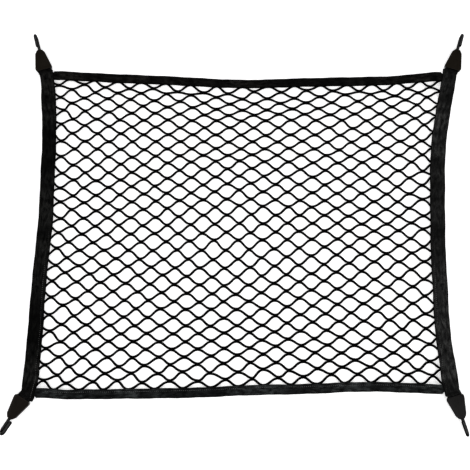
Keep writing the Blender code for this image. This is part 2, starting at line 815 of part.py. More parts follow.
def build():
    clear_scene()
    root = empty("cargo_net")
    webbing = material("webbing", WEBBING_FINISH)
    plastic = material("moulded_plastic", PLASTIC_FINISH)

    left = side_sections(LEFT_ROWS, HOOKS["top_left"], HOOKS["bottom_left"])
    right = side_sections(RIGHT_ROWS, HOOKS["top_right"], HOOKS["bottom_right"])
    tapes = {
        "tape_left": left,
        "tape_right": right,
        "tape_top": end_sections(TOP_ROWS, left, right),
        "tape_bottom": end_sections(BOTTOM_ROWS, left, right),
    }
    for name, sections in tapes.items():
        place(name, tape_mesh(name, sections), webbing, root)
    place("net", cord_mesh(tapes), material("elastic_cord", CORD_FINISH), root)

    end_mesh = hook_end_mesh(plastic)
    wire = wire_curve()
    wire.materials.append(material("coated_wire", WIRE_FINISH))
    for name, pose in HOOKS.items():
        corner = empty("corner_" + name, root)
        matrix = hook_matrix(pose)
        matrix.translation *= METRE
        corner.matrix_local = matrix
        place("hook_end_" + name, end_mesh, plastic, corner)
        turned = Matrix.Rotation(math.radians(pose.swivel), 4, "Y")
        place("wire_hook_" + name, wire, None, corner).matrix_local = turned
    centre_on_origin(root)


build()
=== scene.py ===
# %% [markdown]
# # An elastic cargo net, laid out face up
# A luggage net is four things: a knitted mesh of elastic cords, webbing tapes folded over its
# edges, moulded plastic ends that grip the side tapes, and bent wire hooks with a dipped coating.
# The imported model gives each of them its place. This lesson dresses them in finer shapes and in
# finishes that are worked out from formulas alone.

# %% Load the fixed frame
import math
from collections import namedtuple

import bpy
import numpy as np
from mathutils import Matrix, Vector


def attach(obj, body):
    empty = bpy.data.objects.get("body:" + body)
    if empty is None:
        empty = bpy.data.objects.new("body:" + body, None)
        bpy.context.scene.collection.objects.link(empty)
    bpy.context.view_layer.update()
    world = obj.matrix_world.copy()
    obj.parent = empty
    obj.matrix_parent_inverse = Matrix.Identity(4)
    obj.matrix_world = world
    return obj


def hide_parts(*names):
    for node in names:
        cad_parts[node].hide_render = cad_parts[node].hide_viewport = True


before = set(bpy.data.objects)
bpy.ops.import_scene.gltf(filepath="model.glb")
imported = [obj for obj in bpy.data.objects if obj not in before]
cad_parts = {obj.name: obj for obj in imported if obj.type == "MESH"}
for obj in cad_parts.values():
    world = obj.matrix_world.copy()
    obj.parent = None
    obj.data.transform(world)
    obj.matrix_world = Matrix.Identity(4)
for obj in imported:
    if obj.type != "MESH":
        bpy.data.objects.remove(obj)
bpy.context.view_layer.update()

print("nodes:", ", ".join(sorted(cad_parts)))

# %% [markdown]
# The sizes are real ones in millimetres, as a maker would write them, and METRE turns them into
# Blender's unit. The tables give the edges of the tapes as the net lies. SHIFT moves a place in
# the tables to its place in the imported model, whose middle stands over the origin.

# %% Sizes
METRE = 0.001
SHIFT = np.array((3.1302, 3.4123, 0.0))

CORD = 3.7  # width of an elastic cord
CORD_FLAT = 0.85  # height of a cord, as a share of its width
CORD_HALF = CORD * CORD_FLAT / 2  # half the height of a cord
LAYER = 1.0  # thickness of the webbing
SLOT = 2.8  # room between a tape's layers
CORNER_SLOT = 4.2  # the same at a corner, where a side tape holds the end of another
PRESSED_SLOT = 0.3  # the same where the layers are pressed together
REST = SLOT / 2 + LAYER  # height of a tape's middle where it lies on the floor
CLIMB = 85.0  # length over which a tape rises to its hook end
SETTLE = 38.0  # distance over which the mesh sinks to the floor

TapeRow = namedtuple("TapeRow", "along outer inner")
LEFT_ROWS = [TapeRow(*row) for row in (
    (265, -368.5, -344.5), (230, -366, -340), (190, -362.5, -337.5), (150, -360.5, -336),
    (110, -361, -336), (70, -361, -336.5), (30, -360.5, -335.5), (-10, -361.5, -336),
    (-50, -364, -339.5), (-90, -366.5, -342), (-130, -368, -343.5), (-170, -369, -343.5),
    (-210, -370.5, -345), (-245, -372.5, -347.5), (-278, -374.5, -350),
)]
RIGHT_ROWS = [TapeRow(*row) for row in (
    (268, 384.5, 359), (230, 376.5, 350.5), (190, 368.5, 342.5), (150, 362, 336),
    (110, 357.5, 331.5), (70, 355, 329), (30, 353, 327.5), (-10, 352, 326.5), (-50, 350.5, 325),
    (-90, 350.5, 325), (-130, 350.5, 325), (-170, 351, 325.5), (-210, 353.5, 328),
    (-245, 356, 330.5), (-274, 358, 332.5),
)]
TOP_ROWS = [TapeRow(*row) for row in (
    (-335, 284, 268), (-310, 283, 267.5), (-270, 281.5, 266), (-220, 279, 263),
    (-170, 276.5, 261), (-120, 274.5, 259), (-70, 271.5, 256), (-20, 268.5, 253.5),
    (30, 268.5, 253.5), (80, 271, 255.5), (130, 272, 256.5), (180, 273, 257),
    (230, 274.5, 258.5), (280, 276.5, 261), (320, 280, 264), (348.5, 282.5, 265.5),
)]
BOTTOM_ROWS = [TapeRow(*row) for row in (
    (-342, -297, -281), (-310, -299, -283.5), (-270, -299, -283), (-220, -298.5, -282.5),
    (-170, -298.5, -282), (-120, -297.5, -281), (-70, -296, -279.5), (-20, -294, -277.5),
    (30, -292.5, -275.5), (80, -291, -274.5), (130, -289.5, -273), (180, -287.5, -271.5),
    (230, -287, -271), (280, -288.5, -272.5), (310, -290, -274), (326, -290.5, -275),
)]
print("width between the side tapes:", RIGHT_ROWS[7].inner - LEFT_ROWS[7].inner, "mm")

# %% [markdown]
# Each hook end is placed by its mouth. Three of them lie flat on their backs, and the lower right
# one leans over on a long edge, where the formula rests it just as the solid rests. Spill is how
# far the tape spreads beside the mouth, and swivel turns a wire in its seat.

# %% Poses of the hook ends
END_LENGTH, END_HALF_WIDTH, END_CORNER, END_THICK, END_RIM = 40.0, 16.0, 5.0, 9.0, 1.2
SHOULDER_AT, SHOULDER_HALF_WIDTH, SHOULDER_RADIUS = 34.0, 8.6, 6.0
NOSE_HALF_WIDTH, NOSE_RADIUS = 4.0, 1.6
MOUTH_DEPTH, MOUTH_HALF_WIDTH, NECK, NECK_HALF_WIDTH = 14.0, 11.8, 8.0, 12.0
WIRE, SEAT, REACH, HOOK_RADIUS, RETURN_GAP = 5.0, 11.3, 29.0, 7.0, 3.0

HookPose = namedtuple("HookPose", "x y heading roll spill swivel")
HOOKS = {
    "top_left": HookPose(-362.4, 285.8, 15.5, 0.0, 3.0, 0.0),
    "top_right": HookPose(378.6, 286.8, -17.0, 0.0, 4.0, 0.0),
    "bottom_left": HookPose(-370.5, -296.8, 147.5, 0.0, 4.0, -32.0),
    "bottom_right": HookPose(350.8, -292.9, 197.7, 18.0, 3.5, 0.0),
}


def hook_matrix(pose):
    """Places a hook end by its mouth, in millimetres of the tables."""
    roll = math.radians(abs(pose.roll))
    core = (END_THICK / 2 - END_RIM) * math.cos(roll) + END_RIM
    at_corner = core + (END_HALF_WIDTH - END_RIM) * math.sin(roll)
    at_shoulder = core + (SHOULDER_HALF_WIDTH - END_RIM) * math.sin(roll)
    drop = math.atan2(at_corner - at_shoulder, SHOULDER_AT - END_CORNER)
    height = at_corner * math.cos(drop) + END_CORNER * math.sin(drop)
    return (
        Matrix.Translation((pose.x, pose.y, height))
        @ Matrix.Rotation(math.radians(pose.heading), 4, "Z")
        @ Matrix.Rotation(-drop, 4, "X")
        @ Matrix.Rotation(math.radians(pose.roll), 4, "Y")
    )


for corner, pose in HOOKS.items():
    print(corner, "mouth height %.1f mm" % hook_matrix(pose).translation.z)

# %% [markdown]
# ## Camera, floor and light
# The camera looks almost straight down, a little from the bottom edge, so that the top of the
# net is further away. It comes first, because every later look at the work goes through it.

# %% Camera
EYE = Vector((-12.9, -276.5, 1347.5)) * METRE
TARGET = Vector((-12.9, -14.6, 0.0)) * METRE
FIELD = 822.5  # width of the view at the target, in millimetres

camera_data = bpy.data.cameras.new("camera")
camera_data.sensor_width = 36.0
camera_data.lens = camera_data.sensor_width * (EYE - TARGET).length / (FIELD * METRE)
camera_data.clip_start, camera_data.clip_end = 0.05, 20.0
camera = bpy.data.objects.new("camera", camera_data)
bpy.context.scene.collection.objects.link(camera)
camera.location = EYE
camera.rotation_euler = (TARGET - EYE).to_track_quat("-Z", "Y").to_euler()
bpy.context.scene.camera = camera
print("lens %.1f mm" % camera_data.lens)

# %% [markdown]
# The floor is a light table: it glows a little by itself, so that it comes out white and the
# thin shadows beside the cords nearly go away. It lies a hair below the net, so that the two
# never share a face.

# %% Floor
FLOOR_SIDE, FLOOR_DROP = 12.0, 0.0002
TABLE_GLOW = 0.55

floor_mesh = bpy.data.meshes.new("floor")
floor_mesh.from_pydata([(x * FLOOR_SIDE / 2, y * FLOOR_SIDE / 2, 0)
                        for x, y in ((-1, -1), (1, -1), (1, 1), (-1, 1))], [], [(0, 1, 2, 3)])
floor = bpy.data.objects.new("floor", floor_mesh)
floor.location.z = -FLOOR_DROP
bpy.context.scene.collection.objects.link(floor)
floor_finish = bpy.data.materials.new("pale_floor")
floor_finish.use_nodes = True
for label, value in (
    ("Base Color", (0.93, 0.93, 0.93, 1.0)), ("Roughness", 0.9), ("Specular IOR Level", 0.1),
    ("Emission Color", (1.0, 1.0, 1.0, 1.0)), ("Emission Strength", TABLE_GLOW),
):
    floor_finish.node_tree.nodes["Principled BSDF"].inputs[label].default_value = value
floor_mesh.materials.append(floor_finish)
print("floor:", FLOOR_SIDE, "m a side")

# %% [markdown]
# Black gear on a white floor needs its lamps at the sides. A glossy face that looks up then
# mirrors the dark ceiling and stays black, and only rims that lean towards a lamp catch a line
# of light.

# %% Lamps
CEILING = 0.1  # brightness of the dim ceiling
CONTRAST = 0.72  # below one, it deepens the blacks as a studio print does
Lamp = namedtuple("Lamp", "name x y z wide tall watts")
LAMPS = (
    Lamp("left_box", -2.2, 0.0, 1.9, 1.6, 2.4, 27.0),
    Lamp("right_box", 2.2, 0.0, 1.9, 1.6, 2.4, 27.0),
    Lamp("far_box", 0.0, 2.4, 1.7, 2.4, 1.6, 26.0),
    Lamp("near_box", 0.0, -1.9, 2.1, 2.4, 1.6, 26.0),
    Lamp("rim_strip", 1.3, -1.5, 0.8, 0.5, 1.4, 5.0),
)

for lamp in LAMPS:
    data = bpy.data.lights.new(lamp.name, "AREA")
    data.shape = "RECTANGLE"
    data.size, data.size_y, data.energy = lamp.wide, lamp.tall, lamp.watts
    thing = bpy.data.objects.new(lamp.name, data)
    bpy.context.scene.collection.objects.link(thing)
    thing.location = (lamp.x, lamp.y, lamp.z)
    thing.rotation_euler = (-thing.location).to_track_quat("-Z", "Y").to_euler()

sky = bpy.data.worlds.new("dim_ceiling")
bpy.context.scene.world = sky
sky.use_nodes = True
sky.node_tree.nodes["Background"].inputs["Color"].default_value = (1, 1, 1, 1)
sky.node_tree.nodes["Background"].inputs["Strength"].default_value = CEILING
bpy.context.scene.view_settings.view_transform = "Standard"
bpy.context.scene.view_settings.gamma = CONTRAST
print("lamps:", ", ".join(lamp.name for lamp in LAMPS))

# %% [markdown]
# ## Helpers for finishes
# A finish is a small web of nodes. These helpers add a node, fill its sockets and wire it up, so
# that each effect below reads as a short recipe. An effect that more than one finish needs is a
# group with named sockets.

# %% Node helpers
def add_node(tree, kind, values=(), **settings):
    """A node, with its settings and with values or wires for its input sockets."""
    node = tree.nodes.new(kind)
    for key, value in settings.items():
        setattr(node, key, value)
    for socket, value in dict(values).items():
        if isinstance(value, bpy.types.NodeSocket):
            tree.links.new(value, node.inputs[socket])
        else:
            node.inputs[socket].default_value = value
    return node


def math_node(tree, operation, *values):
    return add_node(tree, "ShaderNodeMath", enumerate(values), operation=operation).outputs[0]


def times(tree, first, second):
    return math_node(tree, "MULTIPLY", first, second)


def weighed(tree, first, second, share):
    """Two masks added up: a share of the first and the rest of the second."""
    return math_node(tree, "ADD", times(tree, first, share), times(tree, second, 1 - share))


def noise(tree, place, scale, detail):
    values = {"Vector": place, "Scale": scale, "Detail": detail}
    return add_node(tree, "ShaderNodeTexNoise", values).outputs[0]


def remap(tree, value, low=0.0, high=1.0, to_low=0.0, to_high=1.0, **settings):
    """Stretches the values from low to high over a new range, and stops at its ends."""
    values = {"Value": value, "From Min": low, "From Max": high, "To Min": to_low, "To Max": to_high}
    return add_node(tree, "ShaderNodeMapRange", values, **settings).outputs[0]


def split(tree, vector):
    return list(add_node(tree, "ShaderNodeSeparateXYZ", {0: vector}).outputs)


def new_group(name, inputs, outputs):
    """A group with named sockets: (name, kind) or (name, kind, value) for each."""
    group = bpy.data.node_groups.new(name, "ShaderNodeTree")
    for direction, sockets in (("INPUT", inputs), ("OUTPUT", outputs)):
        for label, kind, *value in sockets:
            made = group.interface.new_socket(
                name=label, in_out=direction, socket_type="NodeSocket" + kind
            )
            if value:
                made.default_value = value[0]
    start = group.nodes.new("NodeGroupInput")
    end = group.nodes.new("NodeGroupOutput")
    return group, start.outputs, end.inputs


def place_group(tree, group, values=()):
    return add_node(tree, "ShaderNodeGroup", values, node_tree=group).outputs


print("helpers ready")

# %% [markdown]
# **Weave.** Webbing is a plain weave: warp yarns run along the tape, weft yarns across it, and
# each one goes over and under in turn. Two rounded ridges, chosen by a chessboard of crossings,
# give that relief from the tape's own flat coordinates, so it bends with the tape.

# %% Shared effect: plain weave
def hump(tree, position):
    """A round hump over each whole step of a position."""
    return math_node(tree, "ABSOLUTE", math_node(tree, "SINE", times(tree, position, math.pi)))


def ridge(tree, position, length):
    """A yarn's round back across it, lower at both ends of its float."""
    return times(tree, hump(tree, position), math_node(tree, "POWER", hump(tree, length), 0.5))


def weave_group():
    group, given, result = new_group(
        "plain_weave",
        [("Flat", "Vector"), ("Warp Pitch", "Float", 0.0008), ("Weft Pitch", "Float", 0.0007)],
        [("Height", "Float"), ("Crossing", "Float")],
    )
    length, width, _ = split(group, given["Flat"])
    along = math_node(group, "DIVIDE", length, given["Weft Pitch"])
    across = math_node(group, "DIVIDE", width, given["Warp Pitch"])
    whole = [math_node(group, "FLOOR", position) for position in (along, across)]
    over = math_node(group, "PINGPONG", math_node(group, "ADD", *whole), 1.0)
    warp = times(group, ridge(group, across, along), over)
    weft = times(group, ridge(group, along, across), math_node(group, "SUBTRACT", 1.0, over))
    group.links.new(math_node(group, "ADD", warp, weft), result["Height"])
    group.links.new(over, result["Crossing"])
    return group


WEAVE = weave_group()
print("group:", WEAVE.name)

# %% [markdown]
# ** Unevenness, lint and painted shading.** Nothing sewn or moulded is one flat colour. The first group
# mixes a broad noise with a fine one, the second picks out sparse pale specks of fibre, and the third
# finds the faces that look up, so that a finish can paint light on them and paint shade on the faces
# that turn away. Each gives a mask from 0 to 1 for a finish to use in its own way.

# %% Shared effects: unevenness, lint and painted shading
def uneven_group():
    group, given, result = new_group(
        "unevenness",
        [("Place", "Vector"), ("Broad Scale", "Float", 12.0), ("Fine Scale", "Float", 160.0)],
        [("Mask", "Float")],
    )
    broad = noise(group, given["Place"], given["Broad Scale"], detail=3.0)
    fine = noise(group, given["Place"], given["Fine Scale"], detail=4.0)
    group.links.new(weighed(group, broad, fine, share=0.6), result["Mask"])
    return group


def lint_group():
    group, given, result = new_group(
        "lint", [("Place", "Vector"), ("Scale", "Float", 900.0), ("Sparse", "Float", 0.78)],
        [("Mask", "Float")],
    )
    specks = noise(group, given["Place"], given["Scale"], detail=2.0)
    group.links.new(remap(group, specks, given["Sparse"], high=0.9), result["Mask"])
    return group


def painted_shading_group():
    group, given, result = new_group(
        "painted_light_and_shade", [("Steep", "Float", 0.6), ("Level", "Float", 0.93)], [("Mask", "Float")]
    )
    # Painted light and shade: 1 on faces that look up, where a finish keeps or lightens its colour, and 0
    # on faces that turn away, where it paints shade.
    up = split(group, add_node(group, "ShaderNodeNewGeometry").outputs["Normal"])[2]
    mask = remap(group, up, given["Steep"], given["Level"], interpolation_type="SMOOTHSTEP")
    group.links.new(mask, result["Mask"])
    return group


UNEVEN, LINT, PAINTED_SHADING = uneven_group(), lint_group(), painted_shading_group()
print("groups:", UNEVEN.name, LINT.name, PAINTED_SHADING.name)

# %% [markdown]
# Every finish starts from one shader, whose plain numbers are set on the shader itself, and ends
# with a colour and a bumped normal wired to it. In between, colours are mixed by masks.

# %% Start and finish of a material
def start_finish(name, roughness, specular):
    """A material, its web of nodes, its shader, and the place of each point on the piece."""
    made = bpy.data.materials.new(name)
    made.use_nodes = True
    shader = made.node_tree.nodes["Principled BSDF"]
    shader.inputs["Roughness"].default_value = roughness
    shader.inputs["Specular IOR Level"].default_value = specular
    place = add_node(made.node_tree, "ShaderNodeTexCoord").outputs["Object"]
    return made, made.node_tree, shader, place


def flat_place(tree):
    """Metres along and round a piece, as its mesh stores them."""
    return add_node(tree, "ShaderNodeUVMap", uv_map="flat").outputs[0]


def blend_colour(tree, factor, low, high):
    mix = add_node(tree, "ShaderNodeMix", data_type="RGBA")
    tree.links.new(factor, mix.inputs["Factor"])
    for socket, colour in ((6, low), (7, high)):
        if isinstance(colour, bpy.types.NodeSocket):
            tree.links.new(colour, mix.inputs[socket])
        else:
            mix.inputs[socket].default_value = (*colour, 1.0)
    return mix.outputs[2]


def darker(colour, share):
    return tuple(share * part for part in colour)


def end_finish(tree, shader, colour, height, distance, strength):
    values = {"Height": height, "Distance": distance, "Strength": strength}
    tree.links.new(colour, shader.inputs["Base Color"])
    tree.links.new(add_node(tree, "ShaderNodeBump", values).outputs[0], shader.inputs["Normal"])


print("ready to mix finishes")

# %% [markdown]
# ## Finishes
# The whole net is black, and what tells its parts apart is how they shine. The webbing is dull
# with a weave, the cords are duller still, the plastic has a faint brown cast and a soft gloss,
# and the dipped wire is glossy.
#
# ** Webbing.** Its yarns are uneven: there are patches drawn out along the tape, a finer fleck in
# them, and darker stripes across the tape, which are painted shade where kinks dull its sheen. Its
# fold and edges are painted near black, as painted shade.

# %% Webbing
def streak_and_sheen_group():
    group, given, result = new_group(
        "yarn_streaks_and_sheen_bands",
        [("Flat", "Vector"), ("Long", "Float", 0.012), ("Wide", "Float", 0.0045),
         ("Bands", "Float", 0.03)],
        [("Mask", "Float")],
    )
    length, width, _ = split(group, given["Flat"])
    drawn_out = add_node(group, "ShaderNodeCombineXYZ", {
        0: math_node(group, "DIVIDE", length, given["Long"]),
        1: math_node(group, "DIVIDE", width, given["Wide"]),
    }).outputs[0]
    patches = noise(group, drawn_out, scale=1.0, detail=2.0)
    flecks = noise(group, drawn_out, scale=4.0, detail=1.0)
    mask = remap(group, weighed(group, patches, flecks, share=0.75), low=0.36, high=0.64)
    # Painted shade: darker stripes across the tape, where kinks dull the webbing's sheen; the random yarn
    # patches above are the webbing's own tone.
    sheen_band_place = add_node(group, "ShaderNodeCombineXYZ",
                     {0: math_node(group, "DIVIDE", length, given["Bands"])}).outputs[0]
    sheen_bands = noise(group, sheen_band_place, scale=1.0, detail=1.0)
    depth = remap(group, sheen_bands, low=0.42, high=0.52, to_low=0.45)
    group.links.new(times(group, mask, depth), result["Mask"])
    return group


def webbing_finish(name, dark, pale):
    made, tree, shader, place = start_finish(name, roughness=0.75, specular=0.05)
    flat = flat_place(tree)
    weave = place_group(tree, WEAVE, {"Flat": flat})
    streaks_and_sheen = place_group(tree, STREAKS_AND_SHEEN, {"Flat": flat})["Mask"]
    lint = place_group(tree, LINT, {"Place": place})["Mask"]
    level = place_group(tree, PAINTED_SHADING, {"Steep": 0.8, "Level": 0.99})["Mask"]
    worn = remap(tree, noise(tree, place, scale=7.0, detail=1.0),
                 low=0.38, high=0.6, to_low=0.35, to_high=1.1)
    yarn = blend_colour(tree, times(tree, streaks_and_sheen, worn), dark, pale)
    # Painted shade: faces that turn away from looking up, such as the fold, the edges and the tape where
    # it climbs, are painted near black.
    yarn = blend_colour(tree, level, darker(dark, 0.3), yarn)
    yarn = blend_colour(tree, times(tree, weave["Crossing"], 0.35), yarn, darker(dark, 0.6))
    colour = blend_colour(tree, times(tree, lint, 0.5), yarn, (0.16, 0.16, 0.16))
    end_finish(tree, shader, colour, weave["Height"], distance=0.00025, strength=0.8)
    return made


STREAKS_AND_SHEEN = streak_and_sheen_group()
# The side tapes share one webbing and the end tapes another: the paler right and bottom copies are painted
# light, and the darker left and top copies painted shade.
LEFT_WEBBING, RIGHT_WEBBING, TOP_WEBBING, BOTTOM_WEBBING = (
    webbing_finish(name, dark, pale) for name, dark, pale in (
        ("side_webbing_left", (0.0025, 0.0025, 0.0025), (0.058, 0.058, 0.055)),
        ("side_webbing_right", (0.013, 0.013, 0.013), (0.14, 0.14, 0.137)),
        ("end_webbing_top", (0.0025, 0.0025, 0.0025), (0.062, 0.059, 0.055)),
        ("end_webbing_bottom", (0.01, 0.0105, 0.011), (0.135, 0.146, 0.148)),
    )
)
print("finishes:", LEFT_WEBBING.name, RIGHT_WEBBING.name, TOP_WEBBING.name, BOTTOM_WEBBING.name)

# %% [markdown]
# **Elastic cord.** A knitted cord shows a column of small V-shaped loops. The V comes from the
# distance round the cord, added to the distance along it, before a sine makes the ridges.

# %% Cord
LOOP_PITCH, RIDGE_PITCH = 0.0011, 0.00095  # spacing of the loops and of the ridges between them
LOOP_SIDE, LOOP_SLANT = 0.0019, 0.9  # width of one side of the V, and how steeply it leans


def cord_finish():
    made, tree, shader, place = start_finish("elastic_cord", roughness=0.85, specular=0.02)
    along, around, _ = split(tree, flat_place(tree))
    side = math_node(tree, "PINGPONG", around, LOOP_SIDE)
    slanted = math_node(tree, "ADD", along, times(tree, side, LOOP_SLANT))
    loops = math_node(tree, "SINE", times(tree, slanted, 2 * math.pi / LOOP_PITCH))
    ridges = math_node(tree, "SINE", times(tree, around, 2 * math.pi / RIDGE_PITCH))
    height = math_node(tree, "ADD", loops, times(tree, ridges, 0.5))
    uneven = place_group(tree, UNEVEN, {"Place": place, "Broad Scale": 30.0})["Mask"]
    colour = blend_colour(tree, uneven, (0.0006, 0.0006, 0.0006), (0.0045, 0.0045, 0.0047))
    end_finish(tree, shader, colour, height, distance=0.00012, strength=0.7)
    return made


CORD_FINISH = cord_finish()
print("finish:", CORD_FINISH.name)

# %% [markdown]
# ** Thread.** The seams are taken to be sewn with black thread, which the finish paints paler over the
# lower half of the net. A fine slanting wave stands for its twist. The bar tacks are a guess, and get a
# darker thread.

# %% Thread
DARK_THREAD = (0.012, 0.012, 0.012)
PALE_FROM, PALE_TO = 0.02, -0.1  # metres above the middle where it starts and is full


def thread_finish(name, pale):
    made, tree, shader, place = start_finish(name, roughness=0.6, specular=0.2)
    uneven = place_group(tree, UNEVEN, {"Place": place, "Broad Scale": 22.0, "Fine Scale": 700.0})
    lower = remap(tree, split(tree, place)[1], low=PALE_FROM, high=PALE_TO)
    patchy = remap(tree, uneven["Mask"], low=0.38, high=0.52)
    colour = blend_colour(tree, times(tree, lower, patchy), DARK_THREAD, pale)
    twist = add_node(tree, "ShaderNodeTexWave", {"Vector": place, "Scale": 900.0, "Distortion": 2.0},
                     bands_direction="DIAGONAL")
    end_finish(tree, shader, colour, twist.outputs["Fac"], distance=0.00006, strength=0.6)
    return made


SEAM_THREAD = thread_finish("seam_thread", (0.3, 0.3, 0.3))
TACK_THREAD = thread_finish("tack_thread", (0.03, 0.03, 0.03))
print("finishes:", SEAM_THREAD.name, TACK_THREAD.name)

# %% [markdown]
# ** Moulded plastic and coated wire.** The mould leaves a fine grain, and the handling leaves patches
# that shine a little more. The rims and walls of the plastic are painted near black, as painted shade.
# The wire is dipped, so its coating is smooth, with long soft swells where it ran. Its top is
# painted grey, as a painted highlight, and its sides near black, as painted shade.

# %% Plastic and wire
FACE_GLOSS = 0.14  # how strongly the flat faces mirror their surroundings


def plastic_finish(name, dark, pale, rim_gloss=0.25):
    made, tree, shader, place = start_finish(name, roughness=0.2, specular=rim_gloss)
    uneven = place_group(tree, UNEVEN, {"Place": place, "Broad Scale": 45.0, "Fine Scale": 500.0})
    level = place_group(tree, PAINTED_SHADING)["Mask"]
    face = blend_colour(tree, uneven["Mask"], dark, pale)
    # Painted shade: the rims and walls, which turn away from looking up, are painted near black.
    colour = blend_colour(tree, level, darker(dark, 0.2), face)
    gloss = remap(tree, level, to_low=rim_gloss, to_high=FACE_GLOSS)
    tree.links.new(gloss, shader.inputs["Specular IOR Level"])
    roughness = remap(tree, uneven["Mask"], low=0.35, high=0.65, to_low=0.12, to_high=0.24)
    tree.links.new(roughness, shader.inputs["Roughness"])
    grain_height = noise(tree, place, scale=1400.0, detail=2.0)
    end_finish(tree, shader, colour, grain_height, distance=0.00008, strength=0.5)
    return made


def coating_finish():
    made, tree, shader, place = start_finish("dipped_coating", roughness=0.2, specular=0.08)
    uneven = place_group(tree, UNEVEN, {"Place": place, "Broad Scale": 90.0})["Mask"]
    level = place_group(tree, PAINTED_SHADING, {"Steep": 0.78, "Level": 0.985})["Mask"]
    # Painted highlight: the top of the wire, which looks up, is painted grey; its sides are painted near
    # black, as painted shade.
    back = blend_colour(tree, uneven, (0.05, 0.05, 0.052), (0.12, 0.12, 0.123))
    colour = blend_colour(tree, level, (0.001, 0.001, 0.001), back)
    swells = noise(tree, place, scale=70.0, detail=1.0)
    end_finish(tree, shader, colour, swells, distance=0.0003, strength=0.4)
    return made


PLASTIC = plastic_finish("moulded_plastic", (0.023, 0.018, 0.0135), (0.044, 0.037, 0.029))
# The lower right end gets a copy of the same plastic that is painted paler and greyer.
PLASTIC_PALE = plastic_finish(
    "moulded_plastic_paler", (0.018, 0.017, 0.0165), (0.046, 0.044, 0.043), rim_gloss=0.15)
PLASTIC_SHINY = plastic_finish(
    "moulded_plastic_shiny", (0.023, 0.0185, 0.0155), (0.044, 0.037, 0.032), rim_gloss=1.0)
COATING = coating_finish()
print("finishes:", PLASTIC.name, PLASTIC_PALE.name, PLASTIC_SHINY.name, COATING.name)

# %% [markdown]
# ## Making meshes from rings
# Almost every piece here is a row of rings: the same outline, moved and bent from place to
# place, joined to the next one by four-sided faces. One helper makes them all, and it also
# stores flat coordinates: the length along the piece and the distance round it.

# %% Ring helpers
SMOOTH_UNDER = math.radians(50)  # a sharper turn than this between two faces shows as an edge


def ring_round(centre, across, up, wide, tall, sides):
    """Points round an oval, from its half width and its half height."""
    turns = (2 * math.pi * k / sides for k in range(sides))
    return [centre + across * (math.cos(a) * wide) + up * (math.sin(a) * tall) for a in turns]


def ring_mesh(name, pieces, smooth_angle=SMOOTH_UNDER):
    """A mesh from closed pieces, each a list of rings of (x, y, z) in the tables' millimetres.
    "flat" holds metres along and round each piece."""
    points, faces, flats = [], [], []
    for rings in pieces:
        rings = np.asarray(rings, float)
        count, first = rings.shape[1], len(points)
        steps = np.linalg.norm(np.diff(rings.mean(axis=1), axis=0), axis=1)
        along = np.concatenate([[0], np.cumsum(steps)]) * METRE
        closed = np.concatenate([rings, rings[:, :1]], axis=1)
        lengths = np.linalg.norm(np.diff(closed, axis=1), axis=2)
        around = np.concatenate([[0], np.cumsum(lengths[len(rings) // 2])]) * METRE
        points += list((rings.reshape(-1, 3) + SHIFT) * METRE)
        for a in range(len(rings) - 1):
            base, after = first + a * count, first + (a + 1) * count
            for i in range(count):
                j = (i + 1) % count
                faces.append((base + i, base + j, after + j, after + i))
                flats += [(along[a], around[i]), (along[a], around[i + 1]),
                          (along[a + 1], around[i + 1]), (along[a + 1], around[i])]
        last = first + (len(rings) - 1) * count
        faces.append(tuple(first + i for i in reversed(range(count))))
        flats += [(along[0], around[i]) for i in reversed(range(count))]
        faces.append(tuple(last + i for i in range(count)))
        flats += [(along[-1], around[i]) for i in range(count)]
    mesh = bpy.data.meshes.new(name)
    mesh.from_pydata([tuple(p) for p in points], [], faces)
    layer = mesh.uv_layers.new(name="flat")
    layer.data.foreach_set("uv", np.asarray(flats, np.float32).ravel())
    mesh.shade_smooth()
    mesh.set_sharp_from_angle(angle=smooth_angle)
    return mesh


def add_piece(name, mesh, finish, slot, *nodes):
    """Links a piece, lets it ride on the net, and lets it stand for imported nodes."""
    piece = bpy.data.objects.new(name, mesh)
    bpy.context.scene.collection.objects.link(piece)
    mesh.materials.append(finish)
    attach(piece, "root")
    if nodes:
        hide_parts(*nodes)
    print(name, len(mesh.polygons), "faces")
    return piece


SEED_PHASE, WAVE_PHASE = 2.4, 1.7  # radians that keep the waves of different ripples apart


def ripple(at, seed, *waves):
    """A smooth unevenness from a few long waves of (length, height) in millimetres."""
    return sum(height * math.sin(2 * math.pi * at / length + seed * SEED_PHASE + i * WAVE_PHASE)
               for i, (length, height) in enumerate(waves))


print("ring helpers ready")

# %% [markdown]
# ## Webbing tapes
# A binding tape is folded lengthwise over the edge of the mesh and sewn through near its open
# edge. On the real net the side tapes lie over the ends of the other two, and they climb and
# twist into the moulded ends. Sections across the tape hold all of that: where its fold is,
# where its open edge is, and how much room it has inside.

# %% Sections across a tape
Section = namedtuple("Section", "outer inner slot")
TAPE_STEP = 2.6  # spacing of the sections
CLOSE_STEP = 1.5  # and at the ends of a tape


def ease(share):
    share = min(max(share, 0.0), 1.0)
    return share * share * (3 - 2 * share)


def between(first, last, share):
    return Section(*(a + (b - a) * share for a, b in zip(first, last)))


def closer(keys, distance):
    """Key sections, with more between them about a close step apart."""
    line = [keys[0]]
    for first, last in zip(keys, keys[1:]):
        parts = max(2, int(distance(last.outer - first.outer) / CLOSE_STEP))
        line += [between(first, last, (i + 1) / parts) for i in range(parts)]
    return line


def smooth_curve(places, values, at):
    """A curve through values that has no corners."""
    slopes = np.gradient(np.asarray(values, float), places)
    i = int(np.clip(np.searchsorted(places, at) - 1, 0, len(places) - 2))
    length = places[i + 1] - places[i]
    t = min(max((at - places[i]) / length, 0.0), 1.0)
    a, b = values[i], values[i + 1]
    return ((1 + 2 * t) * (1 - t) ** 2 * a + t * (1 - t) ** 2 * length * slopes[i]
            + t * t * (3 - 2 * t) * b + t * t * (t - 1) * length * slopes[i + 1])


print("a quarter of the way, a slope has risen by", ease(0.25))

# %% [markdown]
# A side tape narrows to enter a mouth, and just outside it the cloth that found no room spreads
# to the inner side. The pull of the hook draws its fold in a little at the neck.

